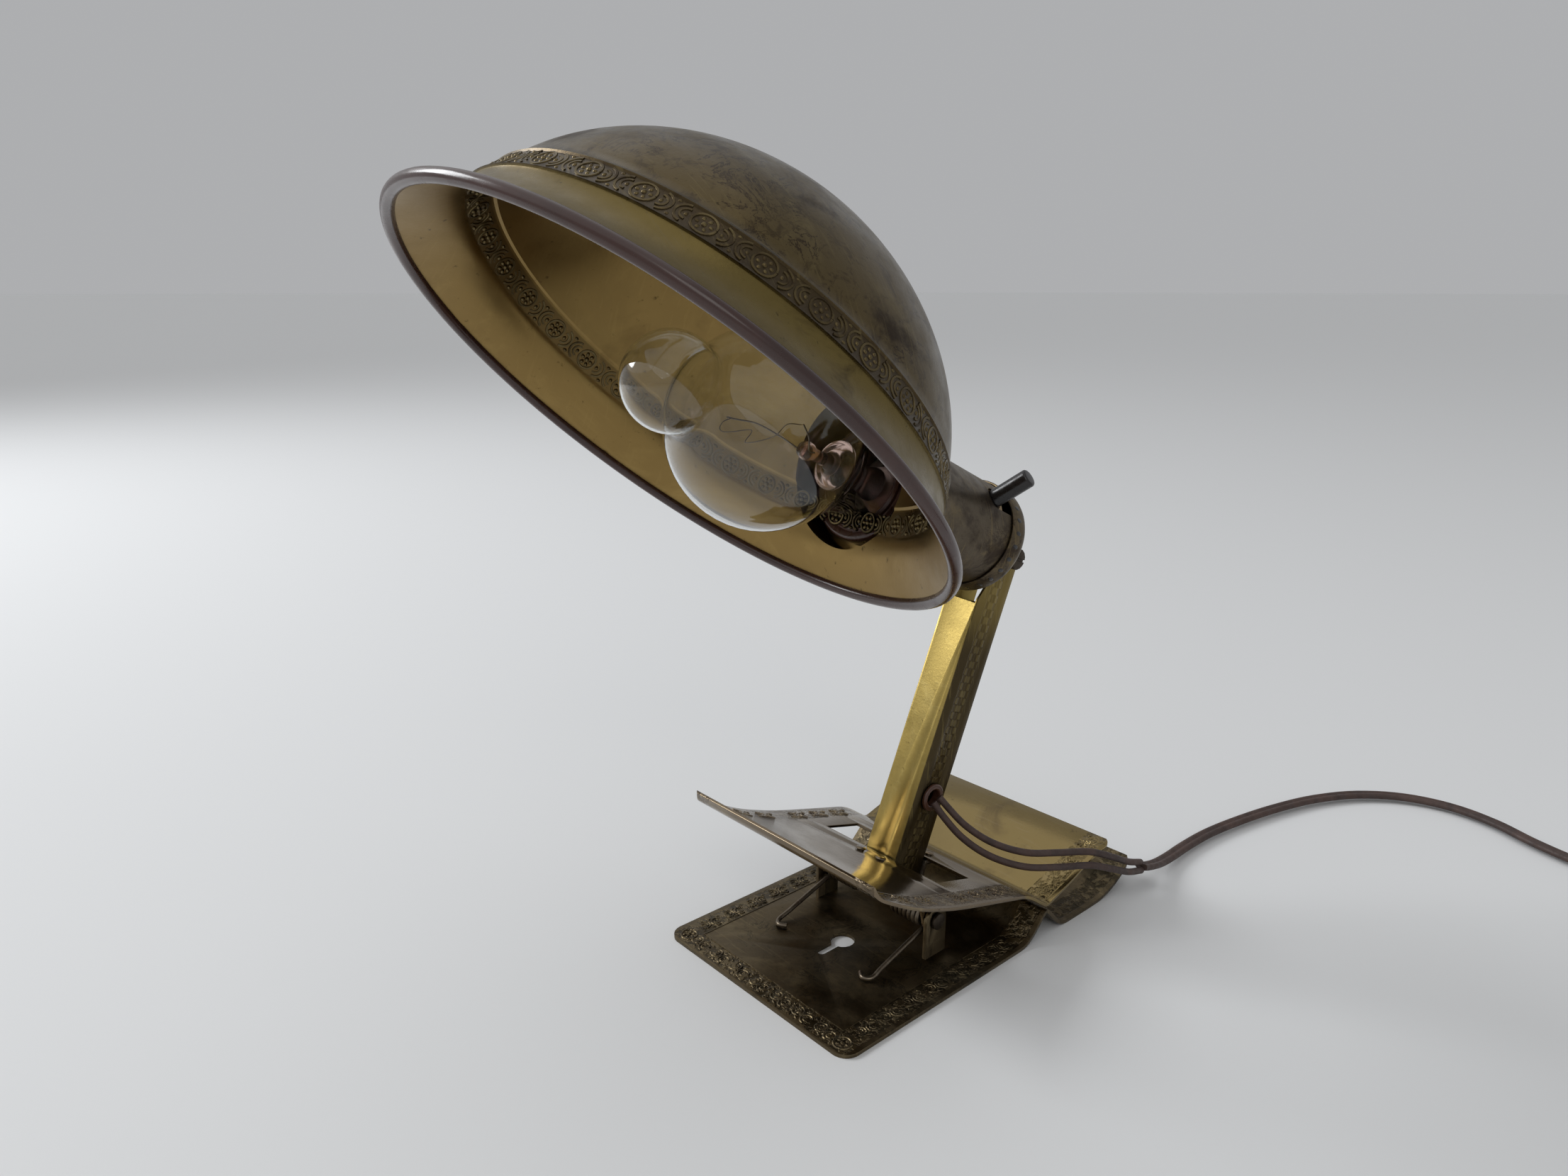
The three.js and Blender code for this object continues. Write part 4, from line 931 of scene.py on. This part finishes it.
    @staticmethod
    def _leaves(bm: bmesh.types.BMesh, tile: Matrix) -> None:
        """Two curled leaves back to back, each of two nested lines round an eye, with dots between."""
        for side in (-1, 1):
            middle = 90 + 90 * side
            at = (side * 3.5, 0)
            curl(bm, at, 3.0, (middle - 82, middle + 82), 0.5, tile)
            curl(bm, at, 1.75, (middle - 95, middle + 95), 0.45, tile)
            raised_dot(bm, (side * 3.2, 0), (0.6, 0.75, 0.65), 0, tile)
        for rise in (-2.7, 2.7):
            raised_dot(bm, (0, rise), (0.75, 0.55, 0.65), 0, tile)


# ---- head -----------------------------------------------------------------------------------
@dataclass
class Head:
    """The swivel, socket and push rod."""

    cap_back: float = 7.0
    cap_depth: float = 8.5
    cap_band: float = 6.2
    cap_radius: float = 20.4
    cap_wall: float = 0.7
    nipple: float = 3.6
    shell_radius: float = 19.4
    shell_wall: float = 0.6
    shell_end: float = 73.0
    flange: float = 22.0
    rod_radius: float = 3.3
    rod_proud: float = 14.4
    collar: float = 15.7

    def build(self, finishes: Finishes) -> None:
        """Makes each piece of the head."""
        head = PLACES.head()
        self._cap(finishes, head)
        self._shell(finishes, head)
        length = 2 * self.shell_radius + self.rod_proud - 0.6
        start = -self.shell_radius + 0.6
        rod = turned("push_rod_round", [
            (0.0, start), *arc(self.rod_radius - 0.7, start + 0.7, 0.7, -90, 0, 4),
            *arc(self.rod_radius - 0.9, start + length - 0.9, 0.9, 0, 90, 5), (0.0, start + length),
        ], PLACES.rod(), 40, False)
        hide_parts("push_rod")
        dress(rod, finishes.black, "rod")
        ring = turned("shade_ring_round", [
            (self.collar + 0.3, 74.4), *arc(19.8, 75.0, 0.6, -90, 0, 3), *arc(19.4, 80.4, 1.0, 0, 90, 4),
            (17.4, 80.6), (16.8, 81.4), (self.collar + 0.3, 81.4)], head, 72)
        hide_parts("shade_ring")
        dress(ring, finishes.bakelite, "head")
        collar = turned("socket_collar_round", [
            (14.1, 58.0), (self.collar, 58.0), (self.collar, 82.2), (self.collar - 0.7, 83.0), (14.8, 83.0),
            (14.1, 82.3)], head, 72)
        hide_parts("socket_collar")
        dress(collar, finishes.bakelite, "head")
        block = softened("swivel_block", "swivel_block_soft", 0.4)
        dress(block, finishes.brass, "head")

    def _cap(self, finishes: Finishes, head: Matrix) -> None:
        """The socket's domed cap, with a row of flat black marks round its band: painted shade in each
        dimple.
        """
        end = self.cap_back + self.cap_depth + self.cap_band
        rise = self.cap_depth - 1
        outside: Profile = []
        inside: Profile = []
        for i in range(13):
            angle = math.pi / 2 * i / 12
            h = self.cap_back + 1 + rise * (1 - math.cos(angle))
            outside.append((7 + (self.cap_radius - 7) * math.sin(angle), h))
            inside.append((7 + (self.cap_radius - self.cap_wall - 7) * math.sin(angle),
                           h + self.cap_wall * math.cos(angle)))
        bore = self.nipple + 0.3
        profile = [(bore, self.cap_back), (6.2, self.cap_back), (6.6, self.cap_back + 0.3), *outside,
                   (self.cap_radius, end - 0.5), (self.cap_radius - 0.3, end),
                   (self.cap_radius - self.cap_wall, end),
                   *inside[::-1], (bore, self.cap_back + 1 + self.cap_wall)]
        cap = turned("socket_cap_round", profile, head, 96)
        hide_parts("socket_cap")
        dress(cap, finishes.socket, "head")
        # painted shade: each dimple is a thin black disc on the smooth band, not a recess
        bm = bmesh.new()
        middle = self.cap_back + self.cap_depth + 2.6
        for i in range(26):
            turn = Matrix.Rotation(2 * math.pi * i / 26, 4, "Z")
            at = turn @ Matrix.Translation((self.cap_radius + 0.02, 0, middle))
            flat = Matrix.Diagonal((0.1, 0.8, 1.45, 1))
            bmesh.ops.create_uvsphere(bm, u_segments=10, v_segments=6, radius=1, matrix=at @ flat)
        dimple_shade = smooth(to_object(bm, "cap_dimple_shade", head), 60)
        dress(dimple_shade, finishes.black, "head")

    def _shell(self, finishes: Finishes, head: Matrix) -> None:
        """The socket's shell, with its front flange."""
        start = self.cap_back + self.cap_depth + 2.6
        inner = self.shell_radius - self.shell_wall
        profile = [(inner, start), (self.shell_radius, start), (self.shell_radius, 66.0),
                   (self.shell_radius + 0.3, 66.8), (self.shell_radius, 67.6), (self.shell_radius, 71.0),
                   *arc(self.flange - 0.5, self.shell_end - 0.7, 0.5, -60, 60, 4), (self.shell_radius, 73.0),
                   (inner, self.shell_end)]
        shell = turned("socket_shell_round", profile, head, 96)
        length = PLACES.rod_at - start
        hole = bmesh.new()
        bmesh.ops.create_cone(hole, cap_ends=True, segments=40, radius1=self.rod_radius + 0.9,
                              radius2=self.rod_radius + 0.9, depth=60)
        combine(shell, to_object(hole, "rod_hole", PLACES.rod()), "DIFFERENCE")
        slot = bmesh.new()
        bmesh.ops.create_cube(slot, size=1, matrix=Matrix.Translation((length, 0, 22))
                              @ Matrix.Diagonal((2 * length, 2 * (self.rod_radius + 0.9), 30, 1)))
        combine(shell, to_object(slot, "rod_slot", PLACES.rod()), "DIFFERENCE")
        smooth(shell)
        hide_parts("socket_shell")
        dress(shell, finishes.socket, "head")


# ---- bulb -----------------------------------------------------------------------------------
@dataclass
class Bulb:
    """The clear bulb: bulge, waist and round head, with its stem and loose wires."""

    bulge_at: float = 129.0
    bulge: float = 30.5
    head_at: float = 166.5
    head: float = 14.5
    wall: float = 0.55

    def _outline(self, inset: float) -> Profile:
        """The glass's profile from the neck to the tip."""
        def blend(a: tuple[float, float], b: tuple[float, float], c: tuple[float, float], n: int) -> Profile:
            """A quadratic curve from a to c by way of b, without its ends."""
            out: Profile = []
            for i in range(1, n):
                t = i / n
                out.append(tuple((1 - t) ** 2 * a[k] + 2 * t * (1 - t) * b[k] + t * t * c[k] for k in (0, 1)))
            return out
        bulge = arc(0, self.bulge_at, self.bulge - inset, -46, 58, 22)
        tip = arc(0, self.head_at, self.head - inset, -22, 90, 14)
        neck = [(11.6 - inset, 62.0), (11.9 - inset, 70.0), (12.6 - inset, 78.0)]
        swell = blend(neck[-1], (13.6 - inset, 96.0), bulge[0], 8)
        waist = blend(bulge[-1], (11.6 - inset, 157.5), tip[0], 7)
        return [*neck, *swell, *bulge, *waist, *tip[:-1], (0.0, tip[-1][1])]

    def build(self, finishes: Finishes) -> None:
        """Makes the glass, the base and what is inside."""
        head = PLACES.head()
        profile = [*self._outline(0), *self._outline(self.wall)[::-1]]
        glass = turned("bulb_glass_round", profile, head, 72, True, 60)
        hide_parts("bulb_glass")
        dress(glass, finishes.glass, "bulb")
        stem = turned("bulb_stem_round", [
            (0.0, 66.0), (10.4, 66.0), (9.4, 70.0), (7.0, 75.0), (4.6, 82.0), (3.8, 88.0), (3.8, 91.6),
            (6.4, 93.6), (8.4, 95.2), (8.6, 96.0), (8.2, 96.8), (5.2, 97.6), (2.9, 99.4), (2.1, 103.0),
            (2.1, 107.4), (2.9, 109.0), (3.1, 110.4), (2.4, 112.2), (0.0, 113.0)], head, 48, False, 60)
        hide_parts("bulb_stem")
        dress(stem, finishes.stem_glass, "bulb")
        self._wires(finishes, head)
        start = 50.8
        ridges: Profile = []
        for i in range(8):
            low = start + 3.2 + i * 2.2
            ridges += [(12.45, low), (12.95, low + 0.55), (13.0, low + 1.1), (12.95, low + 1.6)]
        base = turned("bulb_base_thread", [
            (9.3, start), *ridges, (12.4, 71.2), (12.4, 72.0), (12.0, 72.0), (11.9, start + 3.2),
            (9.2, start + 0.45)], head, 64)
        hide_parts("bulb_base")
        dress(base, finishes.lamp_metal, "bulb")

    def _wires(self, finishes: Finishes, head: Matrix) -> None:
        """The support wires and the filament, bent loose."""
        paths = {
            "support_wire_left": [(-3.6, 0, 110), (-7.5, 1.5, 116), (-12.5, 2.5, 123), (-15.5, 0.5, 131)],
            "support_wire_right": [(3.6, 0, 110), (8.5, -1, 117), (14, 1.5, 124), (17.5, 3.5, 131)],
            "filament": [(-14.3, 0.5, 130.6), (-13, -2, 134), (-9, -5, 136.5), (-3, -1.5, 131.5),
                         (3.5, -6.5, 137), (9, -2, 132.5), (14.5, 2, 134), (16.3, 3.4, 130.6)],
        }
        for node, points in paths.items():
            line = smooth_path([head @ Vector(p) for p in points], 10)
            radius = 0.14 if node == "filament" else 0.26
            made = wire(f"{node}_drawn", line, radius, 3)
            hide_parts(node)
            dress(made, finishes.steel, "bulb")


# ---- arm and clamp --------------------------------------------------------------------------
@dataclass
class Clamp:
    """The base plate, the jaw plate, their springs and the arm."""

    spring_wire: float = 0.9
    spring_coil: float = 3.9
    spring_inner: float = 9.6
    spring_turns: float = 7.4
    spring_pitch: float = 2.05
    pin_z: float = 15.5
    leave: float = math.radians(56)
    base_top: float = 1.4
    border_aside: float = 41.8
    border_front: float = -60.0
    rail_inset: float = 4.3
    rail_back: float = 28.0
    relief_height: float = 0.7
    jaw_half_thick: float = 0.6
    jaw_tiles: tuple[float, ...] = (-33, -21.5, -4, 7.6, 19.2, 63.5, 77)
    jaw_line: tuple[tuple[float, float], ...] = (
        (-51.8, 56.6), (-50.3, 52.4), (-38.3, 45.0), (-27.7, 39.6), (-11.7, 33.6), (8.7, 27.8),
        (29.4, 21.94), (57.5, 17.4), (70.0, 22.4), (84.3, 24.4),
    )

    def build(self, finishes: Finishes) -> None:
        """Makes the plates, arm, springs, screws and rivets."""
        for node, finish, slot, body, width in (
            ("base_plate", finishes.base, "dark_brass", "base", 0.35),
            ("jaw_plate", finishes.plate, "brass", "jaw", 0.35),
            ("arm_tube", finishes.arm, "brass", "arm", 0.45),
            ("pivot_cheek_front", finishes.steel, "steel", "jaw", 0.2),
            ("pivot_cheek_back", finishes.steel, "steel", "jaw", 0.2),
        ):
            dress(softened(node, f"{node}_soft", width), finish, body)
        for name, side in (("left", -1), ("right", 1)):
            coil = wire(f"spring_{name}_wound", self._coil(side), self.spring_wire, 4)
            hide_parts(f"spring_coil_{name}")
            dress(coil, finishes.steel, "base")
            leg = wire(f"spring_{name}_leg", self._leg(side), self.spring_wire, 4)
            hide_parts(f"spring_leg_{name}")
            dress(leg, finishes.steel, "jaw")
        self._grommet(finishes)
        self._screws(finishes)
        self._borders(finishes)

    def _borders(self, finishes: Finishes) -> None:
        """The pressed scrolls along the sides of both plates and the base's front edge."""
        aside, front, top = self.border_aside, self.border_front, self.base_top - 0.05
        low = Matrix.Diagonal((1, 1, self.relief_height, 1))
        along = Matrix.Rotation(math.pi / 2, 4, "Z")
        bm = bmesh.new()
        for side in (-1, 1):
            for i in range(7):
                scroll(bm, Matrix.Translation((side * aside, -49 + i * 11.6, top)) @ along @ low)
            rosette(bm, Matrix.Translation((side * (aside - 0.4), front + 0.2, top)) @ low)
        for i in range(7):
            scroll(bm, Matrix.Translation(((i - 3) * 11.2, front, top)) @ low)
        inner, corner = aside - self.rail_inset, front + self.rail_inset
        rail = [(-inner, self.rail_back), (-inner, corner), (inner, corner), (inner, self.rail_back)]
        path = [Vector((x, y, 0)) for x, y in rail]
        raised_line(bm, path, 0.3, Matrix.Translation((0, 0, top)))
        dress(smooth(to_object(bm, "base_border"), 60), finishes.base, "base")
        bm = bmesh.new()
        for side in (-1, 1):
            for y in self.jaw_tiles:
                scroll(bm, self._on_jaw(side * aside, y) @ low)
        dress(smooth(to_object(bm, "jaw_border"), 60), finishes.plate, "jaw")

    def _on_jaw(self, x: float, y: float) -> Matrix:
        """A tile's frame on the upper plate's top face, with X along the plate's side."""
        spans = zip(self.jaw_line, self.jaw_line[1:])
        (y0, z0), (y1, z1) = next(pair for pair in spans if pair[0][0] <= y <= pair[1][0])
        slope = (z1 - z0) / (y1 - y0)
        middle = Matrix.Translation((x, y, z0 + slope * (y - y0)))
        top = middle @ Matrix.Rotation(math.atan(slope), 4, "X")
        rise = Matrix.Translation((0, 0, self.jaw_half_thick - 0.05))
        return top @ rise @ Matrix.Rotation(math.pi / 2, 4, "Z")

    def _coil(self, side: int) -> list[Vector]:
        """One torsion spring's line, from its leg on the base to the coil's end."""
        outer = self.spring_inner + self.spring_turns * self.spring_pitch
        flat = self.base_top + self.spring_wire + 0.3
        lead = smooth_path([Vector((side * x, y, z)) for x, y, z in (
            (outer - 5, -29.5, flat), (outer - 2.4, -31.2, flat), (outer, -29.4, flat),
            (outer, -24, flat + 1.7), (outer, -15, flat + 4.6), (outer, -7.5, flat + 7),
            (outer, -3.9, flat + 8.2))], 6)
        wound = 7 * 2 * math.pi + self.leave + math.pi / 2
        steps = 7 * 24
        for i in range(steps + 1):
            angle = -math.pi / 2 + wound * i / steps
            x = outer - (outer - self.spring_inner) * i / steps
            y, z = self.spring_coil * math.cos(angle), self.spring_coil * math.sin(angle)
            lead.append(Vector((side * x, y, self.pin_z + z)))
        return lead

    def _leg(self, side: int) -> list[Vector]:
        """The spring's other leg, up under the jaw plate."""
        x = side * (self.spring_inner - 0.1)
        cos, sin = math.cos(self.leave), math.sin(self.leave)
        plate = 33.6 - 0.36 * (-24 + 11.7)  # the upper plate's middle, 24 mm ahead of the pin
        under = plate - self.jaw_half_thick - self.spring_wire - 0.8

        def run(reach: float) -> Vector:
            """A point along the leg's straight run."""
            return Vector((x, self.spring_coil * cos - reach * sin,
                           self.pin_z + self.spring_coil * sin + reach * cos))
        hook = [Vector((x, -22.5, under - 1.2)), Vector((x + side * 1.2, -25.2, under + 0.2)),
                Vector((x + side * 5, -25.8, under + 0.6))]
        return smooth_path([run(0.3), run(3), run(12), run(20), *hook], 6)

    def _grommet(self, finishes: Finishes) -> None:
        """The turned eyelet where the wires leave the arm."""
        place = PLACES.arm() @ Matrix.Translation((0, 1, 30)) @ Matrix.Rotation(math.pi / 2, 4, "Y")
        grommet = turned("grommet_round", [
            (3.3, 5.4), (4.1, 5.4), (4.1, 7.8), (5.4, 7.8), *arc(4.9, 8.3, 0.55, -30, 100, 6),
            *arc(3.9, 8.2, 0.65, 60, 180, 6)], place, 48)
        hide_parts("arm_grommet")
        dress(grommet, finishes.bakelite, "arm")

    def _screws(self, finishes: Finishes) -> None:
        """Screws, nuts, pins and rivets with rounded edges."""
        for node, body in (("head_screw", "arm"), ("head_nut", "arm"), ("arm_pivot_screw", "jaw"),
                           ("arm_pivot_nut", "jaw"), ("hinge_pin", "base")):
            dress(softened(node, f"{node}_soft", 0.18), finishes.iron, body)
        for i in range(1, 5):
            node = f"cheek_rivet_{i}"
            dress(softened(node, f"{node}_soft", 0.15), finishes.plate, "jaw")


# ---- what stays as it is --------------------------------------------------------------------
def dress_frame(frame: dict, finishes: Finishes) -> None:
    """Gives every CAD node that still shows its finish."""
    by_slot = {
        "brass": finishes.brass, "dark_brass": finishes.socket, "steel": finishes.steel,
        "bakelite": finishes.bakelite, "black": finishes.black, "glass": finishes.stem_glass,
        "rubber": finishes.rubber, "bead": finishes.bead, "liner": finishes.fibre,
        "lamp_metal": finishes.lamp_metal,
    }
    slots = {entry["node"]: entry["material_slot"] for entry in frame["record"]["subparts"]}
    for name, node in frame["nodes"].items():
        node.data.materials.clear()
        node.data.materials.append(by_slot[slots[name]])


# ---- studio ---------------------------------------------------------------------------------
@dataclass(frozen=True)
class Studio:
    """The camera, floor, lamps and world."""

    eye: tuple[float, float, float] = (0.2551, -0.2752, 0.2377)
    azimuth: float = math.radians(48.373)
    pitch: float = math.radians(15.336)
    lens: float = 25.046

    def camera(self) -> None:
        """Makes the camera."""
        data = bpy.data.cameras.new("camera")
        data.lens = self.lens
        data.sensor_width = 36
        data.clip_start = 0.01
        made = bpy.data.objects.new("camera", data)
        made.location = self.eye
        made.rotation_euler = Euler((math.pi / 2 - self.pitch, 0, self.azimuth), "XYZ")
        bpy.context.scene.collection.objects.link(made)
        bpy.context.scene.camera = made

    def build(self) -> None:
        """Makes the floor, the lamps and the world."""
        bm = bmesh.new()
        bmesh.ops.create_grid(bm, x_segments=1, y_segments=1, size=60000)
        floor = to_object(bm, "floor")
        floor.data.materials.append(self._floor_finish())
        self._lamp("window", (-1.6, -1.0, 1.3), 0.9, 24, (0.96, 0.98, 1.0))
        self._lamp("fill", (1.3, -0.9, 1.2), 0.8, 3.2, (1.0, 0.99, 0.96))
        self._sky()
        self._world()

    def _lamp(self, name: str, at: tuple[float, float, float], size: float, power: float,
              colour: Colour) -> None:
        """Makes one soft square lamp aimed at the object."""
        data = bpy.data.lights.new(name, "AREA")
        data.size = size
        data.energy = power
        data.color = colour
        made = bpy.data.objects.new(name, data)
        made.location = at
        aim = Vector((0, 0, 0.1)) - Vector(at)
        made.rotation_euler = aim.to_track_quat("-Z", "Y").to_euler()
        bpy.context.scene.collection.objects.link(made)

    @staticmethod
    def _sky() -> None:
        """A broad even light from above, for the floor's level."""
        data = bpy.data.lights.new("sky", "SUN")
        data.energy = 0.62
        data.angle = math.radians(100)
        made = bpy.data.objects.new("sky", data)
        made.rotation_euler = (math.radians(18), math.radians(-20), 0)
        bpy.context.scene.collection.objects.link(made)

    @staticmethod
    def _floor_finish() -> bpy.types.Material:
        """A plain pale floor."""
        g = Graph("pale_floor")
        g.shader.inputs["Base Color"].default_value = (0.78, 0.785, 0.79, 1)
        g.shader.inputs["Roughness"].default_value = 0.85
        return g.material

    @staticmethod
    def _world() -> None:
        """An even pale surround, paler where the camera looks at it."""
        world = bpy.data.worlds.new("surround")
        world.use_nodes = True
        tree = world.node_tree
        back = tree.nodes["Background"]
        path = tree.nodes.new("ShaderNodeLightPath")
        mix = tree.nodes.new("ShaderNodeMix")
        mix.data_type = "RGBA"
        seen = tree.nodes.new("ShaderNodeMath")
        seen.operation = "MAXIMUM"
        tree.links.new(path.outputs["Is Camera Ray"], seen.inputs[0])
        tree.links.new(path.outputs["Is Transmission Ray"], seen.inputs[1])
        also = tree.nodes.new("ShaderNodeMath")
        also.operation = "MAXIMUM"
        tree.links.new(seen.outputs["Value"], also.inputs[0])
        tree.links.new(path.outputs["Is Glossy Ray"], also.inputs[1])
        tree.links.new(also.outputs["Value"], mix.inputs["Factor"])
        mix.inputs[6].default_value = (0.33, 0.335, 0.34, 1)
        mix.inputs[7].default_value = (0.42, 0.425, 0.435, 1)
        tree.links.new(mix.outputs[2], back.inputs["Color"])
        bpy.context.scene.world = world


def main() -> None:
    """Builds the lamp in order and reports each piece."""
    logging.basicConfig(level=logging.INFO, format="%(message)s")
    for kind in (bpy.data.objects, bpy.data.meshes, bpy.data.lights, bpy.data.cameras):
        for item in list(kind):
            kind.remove(item)
    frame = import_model()
    bpy.context.scene.view_settings.view_transform = "Standard"
    studio = Studio()
    studio.camera()
    finishes = Finishes()
    dress_frame(frame, finishes)
    makers: tuple[tuple[str, Callable[[], None]], ...] = (
        ("cord", lambda: Cord().build(finishes)),
        ("clamp", lambda: Clamp().build(finishes)),
        ("head", lambda: Head().build(finishes)),
        ("shade", lambda: Shade().build(finishes)),
        ("bulb", lambda: Bulb().build(finishes)),
        ("studio", studio.build),
    )
    for name, make in makers:
        make()
        log.info("made the %s", name)


if __name__ == "__main__":
    main()
